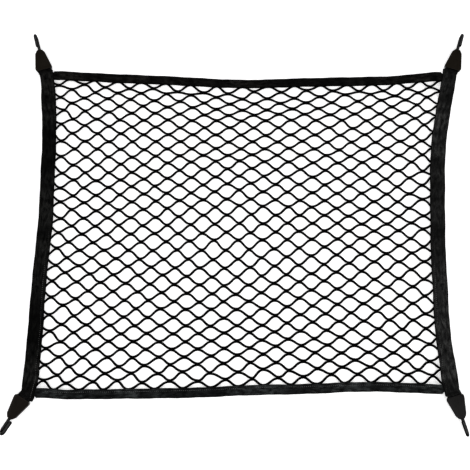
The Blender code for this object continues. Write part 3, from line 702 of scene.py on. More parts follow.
# %% Side tapes, from mouth to mouth
TAPE_DEPTH, TAPE_LIP = MOUTH_DEPTH - 1.5, 0.5  # length of tape in a mouth, and outside it unspread
TAPE_HALF_WIDTH = MOUTH_HALF_WIDTH - 0.3
SPILL_AT, SPILL_SLOT = 2.5, 0.9  # where the tape has spread most, and its room there
NECK_SPILL = 0.6  # share of the spread that is left at the neck
DRAWN_IN = 1.6  # how far the pull of a hook draws in the fold there


def mouth_sections(pose):
    """Key sections of a side tape, from inside a mouth to its neck."""
    matrix = hook_matrix(pose)
    side = math.copysign(1.0, pose.x * math.cos(math.radians(pose.heading)))
    half = TAPE_HALF_WIDTH
    found = []
    for along, outer, inner, slot in (
        (TAPE_DEPTH, half, half, PRESSED_SLOT),
        (-TAPE_LIP, half, half, PRESSED_SLOT),
        (-SPILL_AT, half, half + pose.spill, SPILL_SLOT),
        (-NECK, NECK_HALF_WIDTH - DRAWN_IN, NECK_HALF_WIDTH + NECK_SPILL * pose.spill, CORNER_SLOT),
    ):
        edges = [np.array(matrix @ Vector((side * x, along, 0))) for x in (outer, -inner)]
        found.append(Section(*edges, slot))
    return found


def climb(outer, inner, necks):
    """A section between two places on the floor, lifted towards the necks that are near."""
    edges, slot = [np.array((*edge, REST)) for edge in (outer, inner)], SLOT
    for neck in necks:
        for edge, target in zip(edges, neck[-1]):
            share = ease(1 - np.linalg.norm((edge - target)[:2]) / CLIMB)
            edge[2] += share * (target[2] - REST)
        slot += share * (CORNER_SLOT - SLOT)
    return Section(*edges, slot)


def side_sections(rows, top, bottom):
    necks = [mouth_sections(pose) for pose in (top, bottom)]
    ends = [(*neck[-1].outer[:2], *neck[-1].inner[:2]) for neck in necks]
    places = [(row.outer, row.along, row.inner, row.along) for row in rows]
    keys = np.array([ends[0], *places, ends[1]], float)
    steps = np.linalg.norm(np.diff(keys[:, :2], axis=0), axis=1)
    ways = np.concatenate([[0], np.cumsum(steps)])
    fine = []
    for at in np.linspace(0, ways[-1], int(ways[-1] / TAPE_STEP))[1:-1]:
        spot = [smooth_curve(ways, column, at) for column in keys.T]
        fine.append(climb(spot[:2], spot[2:], necks))
    first, last = (closer(neck, np.linalg.norm) for neck in necks)
    return [*first, *fine, *reversed(last)]


LEFT = side_sections(LEFT_ROWS, HOOKS["top_left"], HOOKS["bottom_left"])
RIGHT = side_sections(RIGHT_ROWS, HOOKS["top_right"], HOOKS["bottom_right"])
print("sections:", len(LEFT), len(RIGHT))

# %% [markdown]
# The top and bottom tapes are pressed flat at their ends and tucked between the layers of the
# side tapes. Their height there is read from the side tape, so the two always agree.

# %% Reading a side tape
NEAR = 6  # sections to look through on each side of the nearest one


def read_between(pairs, at):
    """The second value of sorted pairs, read at a place between their first values."""
    return float(np.interp(at, *zip(*sorted(pairs))))


def inner_edge(sections, y):
    return read_between(((section.inner[1], section.inner[0]) for section in sections), y)


def side_of(section, point):
    across = section.inner[:2] - section.outer[:2]
    away = point - section.outer[:2]
    return across[0] * away[1] - across[1] * away[0]


def height_on(sections, x, y):
    """Height of a tape's middle at a place on it, read between its two nearest sections."""
    point = np.array((x, y))
    near = sorted(range(len(sections)),
                  key=lambda i: np.abs(sections[i].outer[:2] + sections[i].inner[:2] - 2 * point).sum())[0]
    low, high = max(near - NEAR, 0), min(near + NEAR, len(sections) - 1)
    sides = [side_of(section, point) for section in sections[low:high + 1]]
    first = last = sections[near]
    share = 0.0
    for i, (a, b) in enumerate(zip(sides, sides[1:])):
        if a == 0 or a * b < 0:
            first, last, share = sections[low + i], sections[low + i + 1], a / (a - b)
            break
    here = between(first, last, share)
    across = here.inner - here.outer
    return here.outer[2] + (point - here.outer[:2]) @ across[:2] / (across[:2] @ across[:2]) * across[2]


print("height of the left tape by its middle: %.1f mm" % height_on(LEFT, LEFT_ROWS[7].outer + 1, -10))

# %% [markdown]
# The tucked length is trimmed at its outer corner, and the tape is pressed before it goes in.

# %% Top and bottom tapes, from tuck to tuck
TUCK, PRESSED_BY = 8.0, 1.0  # length of the tuck, and of pressed tape before it
TUCK_TRIM, HALFWAY_TRIM = 6.0, 0.8  # trim at the end, and the share of it halfway in


def tucked_end(side_tape, row, way, inward):
    """Key sections of a tape's end, from inside a side tape to where it lies free."""
    edge_x = min(way * inner_edge(side_tape, y) for y in (row.inner, row.outer)) * way
    stops = ((edge_x + way * TUCK, row.outer + inward * TUCK_TRIM, PRESSED_SLOT),
             (edge_x + way * TUCK / 2, row.outer + inward * TUCK_TRIM * HALFWAY_TRIM, PRESSED_SLOT),
             (edge_x - way * PRESSED_BY, row.outer, PRESSED_SLOT),
             (row.along, row.outer, SLOT))
    found = []
    for x, outer_at, slot in stops:
        edges = []
        for y in (outer_at, row.inner):
            covered = way * max(way * x, way * inner_edge(side_tape, y))
            edges.append(np.array((x, y, height_on(side_tape, covered, y))))
        found.append(Section(*edges, slot))
    return found


def end_sections(rows, left, right):
    inward = math.copysign(1.0, rows[0].inner - rows[0].outer)
    ends = [tucked_end(left, rows[0], -1, inward), tucked_end(right, rows[-1], 1, inward)]
    places = np.array([row.along for row in rows], float)
    curves = [[row.outer for row in rows], [row.inner for row in rows]]
    fine = []
    for x in np.linspace(places[0], places[-1], int((places[-1] - places[0]) / TAPE_STEP))[1:-1]:
        edges = []
        for values, *targets in zip(curves, *(end[-1] for end in ends)):
            z = REST
            for target in targets:
                z += ease(1 - abs(x - target[0]) / CLIMB) * (target[2] - REST)
            edges.append(np.array((x, smooth_curve(places, values, x), z)))
        fine.append(Section(*edges, SLOT))
    first, last = (closer(end, lambda away: abs(away[0])) for end in ends)
    return [*first, *fine, *reversed(last)]


TOP = end_sections(TOP_ROWS, LEFT, RIGHT)
BOTTOM = end_sections(BOTTOM_ROWS, LEFT, RIGHT)
print("sections:", len(TOP), len(BOTTOM))

# %% [markdown]
# Across each section the webbing is drawn as a maker would see it cut through: a soft round
# fold, a slight swell over the mesh, a valley where the seam pulls both layers together, and
# an open edge with a rounded lip. The tape is also never quite straight, so long faint waves
# move its edges by a few tenths of a millimetre.

# %% Folded webbing
SEAM_IN = 4.6  # distance of the seam from the open edge
SEAM_PULL, VALLEY = 0.32, 1.1  # depth of the valley along it, and how wide that is
SWELL, ROUNDNESS = 0.35, 0.7  # height of the swell over the mesh, and how round it is
LIP = 0.35  # rounding of the open edge
TAPE_WAVES = ((61, 0.25), (23, 0.12), (173, 0.3))  # length and height of each wave
CALM = 14  # sections at each end over which the waves fade away
UPPER_POINTS, LOWER_POINTS, FOLD_POINTS = 14, 8, 9  # points on each part of a section
FLAT_FROM = 1.0  # distance past the round fold at which the flat faces start


def tape_axes(section):
    across = section.inner - section.outer
    width = np.linalg.norm(across)
    across = across / width
    up = np.array((0, 0, 1.0)) - across[2] * across
    return width, across, up / np.linalg.norm(up)


def layer_rise(at, width, slot):
    """How far the upper face of the tape rises or dips, at a distance from its fold."""
    full = min(1.0, (slot - PRESSED_SLOT) / (SLOT - PRESSED_SLOT))
    valley = -SEAM_PULL * math.exp(-(((at - (width - SEAM_IN)) / VALLEY) ** 2))
    share = min(max(at / (width - SEAM_IN), 0.0), 1.0)
    return (SWELL * math.sin(math.pi * share) ** ROUNDNESS + valley) * full


def folded_ring(section, wave):
    width, across, up = tape_axes(section)
    half, room = section.slot / 2 + LAYER, section.slot / 2
    upper = [(at, half + layer_rise(at, width, section.slot))
             for at in np.linspace(half + FLAT_FROM, width - LIP, UPPER_POINTS)]
    lower = [(at, -half) for at in np.linspace(half + FLAT_FROM, width - LIP, LOWER_POINTS)]
    fold = [(half - half * math.cos(a), half * math.sin(a))
            for a in np.linspace(math.pi / 2, -math.pi / 2, FOLD_POINTS)]
    lip_up = [(width, half - LIP), (width, room + LIP), (width - LIP, room)]
    lip_down = [(width - LIP, -room), (width, -room - LIP), (width, -half + LIP)]
    inside = [(LAYER + room, room), (LAYER, 0.0), (LAYER + room, -room)]
    flat = [*reversed(upper), *fold, *lower, *reversed(lip_down), *reversed(inside), *reversed(lip_up)]
    return [section.outer + across * (along + wave) + up * rise for along, rise in flat]


def tape_piece(name, sections, finish, seed):
    total = len(sections)
    rings = []
    for i, section in enumerate(sections):
        calm = ease(min(i, total - 1 - i) / CALM)
        wave = calm * ripple(i * TAPE_STEP, seed, *TAPE_WAVES)
        rings.append(folded_ring(section, wave))
    mesh = ring_mesh(name, [rings])
    return add_piece(name, mesh, finish, "webbing", name.replace("binding", "tape"))


SECTIONS = {"binding_left": LEFT, "binding_right": RIGHT, "binding_top": TOP, "binding_bottom": BOTTOM}
FINISHES = (LEFT_WEBBING, RIGHT_WEBBING, TOP_WEBBING, BOTTOM_WEBBING)
TAPES = {
    name: tape_piece(name, sections, finish, seed)
    for seed, ((name, sections), finish) in enumerate(zip(SECTIONS.items(), FINISHES), 1)
}

# %% [markdown]
# **Seams.** A lockstitch shows as a row of short grains of thread, each sunk into the cloth at
# both ends. They are real shapes here, not a drawn line, so they catch light at any distance.

# %% Seams
STITCH_LONG, STITCH_WIDE, STITCH_HIGH, STITCH_PITCH = 2.3, 0.85, 0.45, 3.5
UNDER_HIGH, UNDER_SINK = 0.1, 0.08  # the same seen from below, where the stitches are flat
GRAIN_SIDES, GRAIN_SINK, GRAIN_TIP = 6, 0.6, 0.12
GRAIN_RINGS = (-1.0, -0.72, 0.0, 0.72, 1.0)  # places of its rings, as shares of half its length
SEAM_WAVE = (47, 0.25)  # length and height of the seam's own wave
HIDDEN = 12  # sections at each end of a tape that other pieces cover


def grain(centre, along, across, up, long, wide, high):
    """One visible stitch: a little spindle of thread as a list of rings."""
    rings = []
    for share in GRAIN_RINGS:
        swell = max(GRAIN_TIP, math.sqrt(max(0.0, 1 - share * share)))
        place = centre + along * (share * long / 2) - up * (high * GRAIN_SINK * share * share)
        rings.append(ring_round(place, across, up, wide / 2 * swell, high * swell, GRAIN_SIDES))
    return rings


def seam(name, sections, seed):
    """Stitches on the upper and the lower face, a set distance from the open edge."""
    grains = []
    way, next_at = 0.0, STITCH_PITCH
    for first, last in zip(sections, sections[1:]):
        step = np.linalg.norm((last.inner - first.inner))
        while step and way + step >= next_at:
            here = between(first, last, (next_at - way) / step)
            width, across, up = tape_axes(here)
            along = (last.inner - first.inner) / step
            at = width - SEAM_IN + ripple(next_at, seed, SEAM_WAVE)
            half = here.slot / 2 + LAYER
            middle = here.outer + across * at
            for rise, high in ((half + layer_rise(at, width, here.slot), STITCH_HIGH),
                               (UNDER_SINK - half, UNDER_HIGH)):
                grains.append(grain(middle + up * rise, along, across, up,
                                    STITCH_LONG, STITCH_WIDE, high))
            next_at += STITCH_PITCH
        way += step
    return add_piece(name, ring_mesh(name, grains), SEAM_THREAD, "webbing")


SEAMS = {
    name: seam(name.replace("binding", "seam"), sections[HIDDEN:-HIDDEN], seed)
    for seed, (name, sections) in enumerate(SECTIONS.items(), 1)
}

# %% [markdown]
# Near each mouth a small box of dense stitches locks the tape's two layers, so that the pull of
# the hook doesn't open the seam.

# %% Bar tacks
TACK_LONG, TACK_WIDE, TACK_ROWS = 5.5, 6.0, 9
TACK_AT = MOUTH_DEPTH + 11.0  # distance of a tack from the tape's end
TACK_THREAD_WIDE, TACK_ROW_HIGH, TACK_SIDE_HIGH = 0.6, 0.38, 0.45
TACK_SLANT = 0.12  # how far its rows zigzag
TACK_PROUD = 0.05  # how far its thread stands out


def pair_at(sections, distance):
    """The two sections at a distance along the tape."""
    way = 0.0
    for first, last in zip(sections, sections[1:]):
        way += np.linalg.norm((first.outer + first.inner - last.outer - last.inner) / 2)
        if way >= distance:
            return first, last
    return sections[-2], sections[-1]


def bar_tack(name, sections):
    first, last = pair_at(sections, TACK_AT)
    width, across, up = tape_axes(first)
    along = (last.outer + last.inner - first.outer - first.inner) / 2
    along /= np.linalg.norm(along)
    half = first.slot / 2 + LAYER + layer_rise(width / 2, width, first.slot)
    centre = first.outer + across * (width / 2) + up * (half + TACK_PROUD)
    grains = []
    for i in range(TACK_ROWS):
        shift = (i / (TACK_ROWS - 1) - 0.5) * TACK_LONG
        slant = across + along * (TACK_SLANT if i % 2 else -TACK_SLANT)
        grains.append(grain(centre + along * shift, slant / np.linalg.norm(slant), along, up,
                            TACK_WIDE, TACK_THREAD_WIDE, TACK_ROW_HIGH))
    for side in (-1, 1):
        grains.append(grain(centre + across * side * TACK_WIDE / 2, along, across, up,
                            TACK_LONG + TACK_THREAD_WIDE, TACK_THREAD_WIDE, TACK_SIDE_HIGH))
    return add_piece(name, ring_mesh(name, grains), TACK_THREAD, "webbing")


TACKS = {
    "binding_" + side: [bar_tack("tack_top_" + side, sections),
                        bar_tack("tack_bottom_" + side, sections[::-1])]
    for side, sections in (("left", LEFT), ("right", RIGHT))
}

# %% [markdown]
# ## The knitted mesh
# The mesh is one panel of wavy elastic cords. Each cord swings between two levels, and where it
# meets its neighbour the knitting machine has locked the two together without a knot. Seen from
# above that leaves lens-shaped gaps with sharp tips. The rows and columns aren't even, and the
# tables say by how much: the share of the way down at which each second row lies, at three
# places across the net, and the lean of the columns at its top, middle and bottom.

# %% Warp of the mesh
CORDS = 40
HALF_COLUMNS = 31.5  # half gaps between the side tapes
COLUMN_START = 0.415  # share of a half gap that the left tape hides
ROW_SHARES = np.array((
    (0.0, 0.0, 0.0), (3.5, 3.8, 3.6), (8.1, 7.9, 8.0), (13.1, 11.8, 12.7), (18.0, 16.9, 17.8),
    (23.3, 21.6, 22.9), (28.7, 26.0, 27.9), (33.9, 31.0, 33.3), (38.8, 36.2, 38.6),
    (43.9, 41.3, 43.7), (48.9, 47.4, 48.6), (54.2, 53.1, 53.4), (59.2, 59.3, 58.6),
    (64.2, 65.2, 64.1), (69.4, 70.8, 69.5), (74.8, 75.8, 74.8), (80.2, 81.0, 80.3),
    (85.3, 85.8, 85.7), (90.3, 90.4, 90.6), (95.8, 95.5, 95.3), (100.0, 100.0, 100.0),
)) / 100
SHARE_AT = (0.11, 0.49, 0.86)
DRIFT_AT = (0.0, 0.15, 0.26, 0.37, 0.47, 0.58, 0.68, 0.8, 0.9, 1.0)
DRIFT_TOP = (-0.1, -0.36, -0.55, -0.44, -0.28, -0.05, 0.15, 0.33, 0.3, 0.0)
DRIFT_MIDDLE = (0.0, -0.04, -0.02, -0.03, -0.06, -0.03, 0.04, 0.17, 0.26, 0.33)
DRIFT_BOTTOM = (-0.1, -0.36, -0.49, -0.25, -0.01, 0.13, 0.2, 0.44, 0.4, 0.2)
DRIFT_FADE = 1.5  # how quickly the lean of the top and bottom fades towards the middle
ROUNDS = 3  # x and y depend on each other, so they are found in a few rounds


def edge_at(rows, along):
    return read_between(((row.along, row.inner) for row in rows), along)


def row_share(u, v):
    rows = np.linspace(0, 1, len(ROW_SHARES))
    return float(np.interp(u, SHARE_AT, [np.interp(v, rows, column) for column in ROW_SHARES.T]))


def drift(u, v):
    """How far the columns lean sideways, in half gaps."""
    top, middle, bottom = (np.interp(u, DRIFT_AT, row) for row in (DRIFT_TOP, DRIFT_MIDDLE, DRIFT_BOTTOM))
    near_top, near_bottom = max(0.0, 1 - 2 * v), max(0.0, 2 * v - 1)
    return (top * near_top**DRIFT_FADE + middle * (1 - abs(2 * v - 1))
            + bottom * near_bottom**DRIFT_FADE)


def mesh_place(column, level):
    """Where a place on the mesh lies, counted in half gaps from the left and top tapes."""
    u, v = column / HALF_COLUMNS, level / CORDS
    share = row_share(u, v)
    lean = u + drift(u, v) / HALF_COLUMNS
    x = y = 0.0
    for _ in range(ROUNDS):
        left, right = edge_at(LEFT_ROWS, y), edge_at(RIGHT_ROWS, y)
        x = left + (right - left) * lean
        top, bottom = edge_at(TOP_ROWS, x), edge_at(BOTTOM_ROWS, x)
        y = top + (bottom - top) * share
    return np.array((x, y))


print("middle of the mesh:", mesh_place(HALF_COLUMNS / 2, CORDS / 2).round(1))

# %% [markdown]
# The cords leave the tapes at the tapes' own height and sink to the floor over a few
# centimetres. A little seeded chance at each joint keeps the mesh as uneven as a real one.

# %% Height and unevenness
CHANCE = np.random.default_rng(41)
NODES = int(HALF_COLUMNS) + 3
JITTER = CHANCE.normal(0.0, 1.0, (CORDS + 2, NODES, 2))
CHARACTER = CHANCE.uniform(0.0, 1.0, (CORDS + 2, NODES, 3))
AT_EDGE = 0.01  # keeps the weight of a tape finite at its very edge
STRAY = 0.55  # usual stray of a joint
STRAY_EDGE, EDGE_NODES = 1.6, 2  # and of one that is at most so many joints from a tape


def mesh_lift(x, y):
    """How far the middle of the mesh is lifted off the floor by the tapes that hold it."""
    left, right = edge_at(LEFT_ROWS, y), edge_at(RIGHT_ROWS, y)
    top, bottom = edge_at(TOP_ROWS, x), edge_at(BOTTOM_ROWS, x)
    borders = ((LEFT, x - left, (left, y)), (RIGHT, right - x, (right, y)),
               (TOP, top - y, (x, top)), (BOTTOM, y - bottom, (x, bottom)))
    depth, nearest = min((border[1], i) for i, border in enumerate(borders))
    if depth <= 0:
        return height_on(borders[nearest][0], x, y) - CORD_HALF
    total = weights = 0.0
    for tape, away, near in borders:
        weight = (away + AT_EDGE) ** -2
        weights += weight
        if away < SETTLE:
            total += weight * (height_on(tape, *near) - CORD_HALF) * ease(1 - away / SETTLE)
    return total / weights


def joint_stray(node, level):
    near_edge = min(node, NODES - 2 - node, level, CORDS - level) <= EDGE_NODES
    return JITTER[level, node] * (STRAY_EDGE if near_edge else STRAY)


print("lift of the mesh beside the left tape: %.1f mm" % mesh_lift(LEFT_ROWS[7].inner + 1, -10))

# %% [markdown]
# A cord's path is a row of round waves. At a joint, two cords lie side by side and press into
# each other a little, so their middles are less than a cord apart. The elastic also keeps them
# side by side for a few millimetres there, so the waves are a little flatter at their tops than
# a cosine, and no two of them are flattened alike.

# %% Paths of the cords
STEPS = 7  # places on a cord from one joint to the next
PRESS = 0.6  # distance between two joined cords, as a share of a cord
UNDER_TAPE = 5.5  # length of cord inside a side tape
SLIP = 0.9  # how far a cord may sit to one side of a joint
TUCK_UNDER = 0.6  # how far the first and last cords reach under the tapes
FLATTEST, UNEVEN_SHAPE = 0.02, 0.17  # least flattening of a wave, and how much it may vary
OFF_FLOOR = 0.3  # room under a cord where it lies free
CORD_WAVES = ((83, 0.12), (37, 0.1))  # length and height of the waves in its height


def swing(t, flatness):
    """From 1 at one joint to -1 at the next, as t goes from 0 to 1."""
    wave = math.cos(math.pi * t)
    return wave * (1 + flatness * (1 - wave * wave))


def joint_place(node, level, cord):
    """Where a cord passes a joint: the joint's place, moved to the cord's own side."""
    place = mesh_place(node - COLUMN_START, level)
    if 0 < level < CORDS and 0 < node < NODES - 1:
        place = place + joint_stray(node, level)
    offset = (1 if cord < level else -1) * PRESS * CORD / 2
    if level in (0, CORDS):
        offset = TUCK_UNDER if level == 0 else -TUCK_UNDER
    return place + np.array((SLIP * (2 * CHARACTER[cord, node, 2] - 1), offset))


def cord_path(cord):
    """Places along one cord, from under the left tape to under the right one."""
    spots = [(node, joint_place(node, cord + (node + cord) % 2, cord)) for node in range(NODES - 1)]
    path = []
    for (node, here), (_, there) in zip(spots, spots[1:]):
        flatness = FLATTEST + UNEVEN_SHAPE * CHARACTER[cord, node, 0]
        skew = UNEVEN_SHAPE * (CHARACTER[cord, node, 1] - 0.5)
        for step in range(STEPS):
            t = step / STEPS
            share = (1 - swing(t + skew * math.sin(math.pi * t), flatness)) / 2
            path.append(here + (there - here) * np.array((t, share)))
    path.append(spots[-1][1])
    line = []
    for x, y in path:
        if edge_at(LEFT_ROWS, y) - UNDER_TAPE < x < edge_at(RIGHT_ROWS, y) + UNDER_TAPE:
            z = CORD_HALF + OFF_FLOOR + mesh_lift(x, y) + ripple(x, cord, *CORD_WAVES)
            line.append((x, y, z))
    return np.array(line)


PATHS = [cord_path(cord) for cord in range(CORDS)]

# %% [markdown]
# Each path is wrapped in a slightly flattened tube, which grows and shrinks a little as knitted
# elastic does.

# %% Cords
CORD_SIDES = 8
CORD_SWELLS = ((0.05, 0.9), (0.03, 2.3))  # how much a cord's width varies, and how quickly


def tube(line, radius_across, radius_up, sides):
    """Rings round a line of places, flattened and laid level."""
    line = np.asarray(line, float)
    ways = np.gradient(line, axis=0)
    ways /= np.linalg.norm(ways, axis=1)[:, None]
    level = np.cross((0, 0, 1.0), ways)
    level /= np.linalg.norm(level, axis=1)[:, None]
    up = np.cross(ways, level)
    return [ring_round(*ring, sides) for ring in zip(line, level, up, radius_across, radius_up)]


def cord_rings(cord, path):
    (slow, slow_turn), (quick, quick_turn) = CORD_SWELLS
    wide = [CORD / 2 * (1 + slow * math.sin(slow_turn * i + cord) + quick * math.sin(quick_turn * i))
            for i in range(len(path))]
    return tube(path, wide, [w * CORD_FLAT for w in wide], CORD_SIDES)


net = add_piece("knitted_mesh", ring_mesh("knitted_mesh", [cord_rings(i, p) for i, p in enumerate(PATHS)]),
                CORD_FINISH, "elastic_cord", "net")

# %% [markdown]
# Every joint gets a short sleeve, where the yarns of one cord pass into the next. It is thickest
# in the middle and thin at both ends, so that it closes the notch between the two cords.

# %% Joints
JOINT_LONG, JOINT_WIDE, JOINT_FLAT = 3.6, 3.0, 0.95
JOINT_LIFT = 0.35  # height of its middle over that of a cord on the floor
JOINT_SHAPE = ((-1, 0.35), (-0.6, 0.8), (0, 1.0), (0.6, 0.8), (1, 0.35))  # place and thickness


def joint_rings(node, level):
    middle = (joint_place(node, level, level - 1) + joint_place(node, level, level)) / 2
    z = CORD_HALF + JOINT_LIFT + mesh_lift(*middle)
    line = [(middle[0] + share * JOINT_LONG / 2, middle[1], z) for share, _ in JOINT_SHAPE]
    return tube(line, [JOINT_WIDE / 2 * swell for _, swell in JOINT_SHAPE],
                [CORD_HALF * swell * JOINT_FLAT for _, swell in JOINT_SHAPE], CORD_SIDES)


joints = add_piece("mesh_joints", ring_mesh("mesh_joints", [
    joint_rings(node, level) for level in range(1, CORDS) for node in range(1, NODES - 2)
    if (node + level) % 2 == 0
]), CORD_FINISH, "elastic_cord")

# %% [markdown]
# ## Moulded ends
# Each end is moulded in one shot: a flat wedge with rounded rims, a wide mouth for the tape and
# a round nose for the wire. Seen from above it is nearly straight-sided, with full corners at
# the mouth. Its outline is a polygon whose corners are turned as arcs.

# %% Outline of a moulded end
def rounded_outline(corners, steps=10):
    """Points round a polygon whose corners are (x, y, radius), each turned as an arc."""
    outline = []
    for i, (x, y, radius) in enumerate(corners):
        here = np.array((x, y))
        before = np.array(corners[i - 1][:2]) - here
        after = np.array(corners[(i + 1) % len(corners)][:2]) - here
        before, after = before / np.linalg.norm(before), after / np.linalg.norm(after)
        half = math.acos(np.clip(before @ after, -1, 1)) / 2
        inward = (before + after) / np.linalg.norm(before + after)
        centre = here + inward * radius / math.sin(half)
        middle = math.atan2(-inward[1], -inward[0])
        reach = math.pi / 2 - half
        for step in range(steps + 1):
            angle = middle - reach + 2 * reach * step / steps
            outline.append(centre + radius * np.array((math.cos(angle), math.sin(angle))))
    return np.array(outline)


OUTLINE = rounded_outline((
    (-END_HALF_WIDTH, 0, END_CORNER), (END_HALF_WIDTH, 0, END_CORNER),
    (SHOULDER_HALF_WIDTH, SHOULDER_AT, SHOULDER_RADIUS), (NOSE_HALF_WIDTH, END_LENGTH, NOSE_RADIUS),
    (-NOSE_HALF_WIDTH, END_LENGTH, NOSE_RADIUS), (-SHOULDER_HALF_WIDTH, SHOULDER_AT, SHOULDER_RADIUS),
))
RIGHT_SIDE = OUTLINE[OUTLINE[:, 0] > 0]
RIGHT_SIDE = RIGHT_SIDE[np.argsort(RIGHT_SIDE[:, 1])]


def end_half_width(y):
    """Half the width of the moulded end, seen from above, at a distance from its mouth."""
    return float(np.interp(y, RIGHT_SIDE[:, 1], RIGHT_SIDE[:, 0]))


print("width halfway along: %.1f mm" % (2 * end_half_width(END_LENGTH / 2)))

# %% [markdown]
# The rings run from the bottom of the mouth, out over its lip, along the outside, over the nose
# and down into the bore, so that the whole piece is one closed skin. The mould's two halves meet
# at mid height and leave a faint raised line there.

# %% Rings of a moulded end
MOUTH_HALF_HEIGHT = 1.8
BORE_ROOM = 0.3  # room in the bore round a wire without its skin, and behind its end
BORE_RADIUS = WIRE / 2 + BORE_ROOM
BORE_FLARE, BORE_FLARE_HIGH, BORE_FLARE_ROUND = 0.35, 0.2, 1.6  # growth and rounding at its rim
BORE_LIP, BORE_MIDDLE = 0.15, 36.0  # depth of the flare, and place of a ring further in
MOUTH_FLARE, MOUTH_ROUND = 0.2, 1.0  # growth and rounding of the mouth's outermost ring
LEAST_WALL, WALL_TO = 0.25, 2  # least wall beside the mouth, and how far along that counts
THIN, THIN_ROUND = 3, 1.0  # half width up to which a ring is thin, and the rounding of such a ring
ARC, CROWN = 6, 7  # points on each corner of a ring, and on its upper and lower faces
CROWN_HIGH, LINE_HIGH, LINE_HALF = 0.12, 0.08, 0.35  # swell of a face, and the mould's line
END_STOPS = (
    0.12, 0.4, 0.8, 1.2, 1.7, 2.3, 3.0, 3.8, 4.6, 5.5, 7, 9, 12, 15, 18, 21, 24, 27, 29.5, 31.5,
    33, 34.5, 36, 37.2, 38.2, 38.8, 39.3, 39.65, 39.88,
)  # distances of the outer rings from the mouth
LIP_RINGS = (
    (0.0, 0.0, 0.5, MOUTH_DEPTH), (0.0, 0.0, 0.5, 8.0), (0.0, 0.0, 0.5, 2.0), (0.0, 0.0, 0.5, 0.7),
    (0.05, 0.1, 0.55, 0.2), (0.1, 0.45, 0.7, 0.0),
)  # growth in width and height, rounding and distance, from the bottom of the mouth outwards


def rim_ring(half_width, half_height, radius, y, crown=0.0, line=0.0):
    """A rounded rectangle across the end, with a slight crown and a faint line at mid height."""
    ring = []
    for turn, (sx, sz) in enumerate(((1, 1), (-1, 1), (-1, -1), (1, -1))):
        cx, cz = sx * (half_width - radius), sz * (half_height - radius)
        for i in range(ARC):
            angle = math.pi / 2 * (turn + i / (ARC - 1))
            ring.append((cx + radius * math.cos(angle), y, cz + radius * math.sin(angle)))
        if turn in (0, 2):
            for i in range(1, CROWN + 1):
                share = 1 - 2 * i / (CROWN + 1)
                ring.append((sx * share * (half_width - radius), y,
                             sz * (half_height + crown * (1 - share * share))))
        else:
            for z in (LINE_HALF, 0.0, -LINE_HALF):
                ring.append((sx * (half_width + (line if z == 0 else 0)), y, -sx * z))
    return ring


def end_rings():
    inner, half = MOUTH_HALF_WIDTH, END_THICK / 2
    rings = [rim_ring(inner + wider, MOUTH_HALF_HEIGHT + taller, radius, y)
             for wider, taller, radius, y in LIP_RINGS]
    rings.append(rim_ring(inner + MOUTH_FLARE, half - END_RIM, MOUTH_ROUND, 0.0))
    for y in END_STOPS:
        inset = 0.0
        for edge in (END_RIM - y, y - (END_LENGTH - END_RIM)):
            if edge > 0:
                inset = END_RIM - math.sqrt(max(0.0, END_RIM**2 - edge**2))
        wide = max(end_half_width(y) - (inset if y > SHOULDER_AT else 0.0),
                   inner + LEAST_WALL if y < WALL_TO else 0.0)
        rounding = END_RIM if wide > THIN else THIN_ROUND
        rings.append(rim_ring(wide, half - inset, rounding, y, CROWN_HIGH, LINE_HIGH))
    rings.append(rim_ring(BORE_RADIUS + BORE_FLARE, BORE_RADIUS + BORE_FLARE_HIGH,
                          BORE_FLARE_ROUND, END_LENGTH))
    rings += [rim_ring(BORE_RADIUS, BORE_RADIUS, BORE_RADIUS - LINE_HALF, y)
              for y in (END_LENGTH - BORE_LIP, BORE_MIDDLE, END_LENGTH - SEAT - BORE_ROOM)]
    return np.array(rings)


END_RINGS = end_rings()
print("rings:", END_RINGS.shape)

# %% [markdown]
# One set of rings serves for all four ends, and each is moved to its corner of the net. The two
# lower ones have finishes of their own: the left one has glossier rims, and the right one has
# duller rims and is painted paler and greyer than the other three.

# %% Moulded ends
END_SMOOTH = math.radians(42)
PLASTICS = {"bottom_left": PLASTIC_SHINY, "bottom_right": PLASTIC_PALE}


def in_place(rings, matrix):
    """Rings of a piece in a hook end's own frame, moved to its corner of the net."""
    matrix = np.array(matrix)
    return np.asarray(rings) @ matrix[:3, :3].T + matrix[:3, 3]


for corner, pose in HOOKS.items():
    name = "moulded_end_" + corner
    mesh = ring_mesh(name, [in_place(END_RINGS, hook_matrix(pose))], END_SMOOTH)
    add_piece(name, mesh, PLASTICS.get(corner, PLASTIC), "moulded_plastic", "hook_end_" + corner)

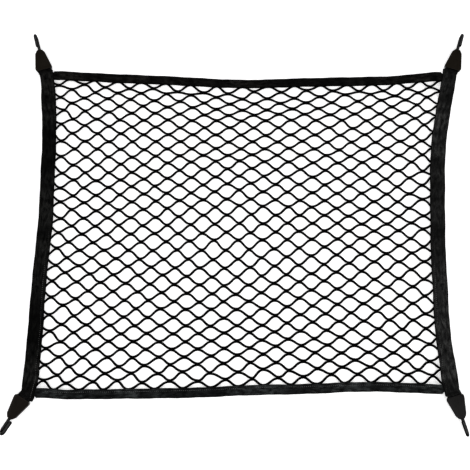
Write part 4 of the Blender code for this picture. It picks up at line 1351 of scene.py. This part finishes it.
# %% [markdown]
# ## Wire hooks
# A hook is a straight shank, a half turn and a shorter free leg. The dip leaves a thin plastic
# skin, which gathers into a slightly thicker drop at the free end.

# %% Wire hooks
WIRE_SIDES = 20
SHANK_RINGS, TURN_RINGS, LEG_RINGS, TIP_RINGS = 10, 25, 9, 6  # counted with both their ends
COAT = 0.05  # thickness of the skin, as a share of the wire's radius
DROP, DROP_FROM, DROP_OVER = 0.05, 7, 5  # growth of the drop, and the rings over which it grows
TIP_LONG = 0.9  # length of the round tip, as a share of the wire's radius
SIDEWAYS = np.array((1.0, 0, 0))


def hook_line():
    bend_at = END_LENGTH + REACH - HOOK_RADIUS - WIRE / 2
    shank = [(0, y, 0) for y in np.linspace(END_LENGTH - SEAT, bend_at, SHANK_RINGS)[:-1]]
    turn = [(0, bend_at + HOOK_RADIUS * math.sin(a), HOOK_RADIUS * (1 - math.cos(a)))
            for a in np.linspace(0, math.pi, TURN_RINGS)]
    leg = [(0, y, 2 * HOOK_RADIUS)
           for y in np.linspace(bend_at, END_LENGTH + RETURN_GAP, LEG_RINGS)[1:]]
    return np.array([*shank, *turn, *leg], float)


def hook_rings():
    line = hook_line()
    ways = np.gradient(line, axis=0)
    ways /= np.linalg.norm(ways, axis=1)[:, None]
    stops = [(place, way, 1 + COAT + DROP * ease((i - len(line) + DROP_FROM) / DROP_OVER))
             for i, (place, way) in enumerate(zip(line, ways))]
    for angle in np.linspace(0, math.pi / 2, TIP_RINGS)[1:-1]:
        place = line[-1] + ways[-1] * (WIRE / 2 * TIP_LONG * math.sin(angle))
        stops.append((place, ways[-1], (1 + COAT + DROP) * math.cos(angle)))
    return [ring_round(place, SIDEWAYS, np.cross(SIDEWAYS, way), WIRE / 2 * swell, WIRE / 2 * swell,
                       WIRE_SIDES) for place, way, swell in stops]


HOOK_RINGS = hook_rings()
for corner, pose in HOOKS.items():
    name = "coated_wire_" + corner
    turned = hook_matrix(pose) @ Matrix.Rotation(math.radians(pose.swivel), 4, "Y")
    add_piece(name, ring_mesh(name, [in_place(HOOK_RINGS, turned)]), COATING, "coated_wire",
              "wire_hook_" + corner)
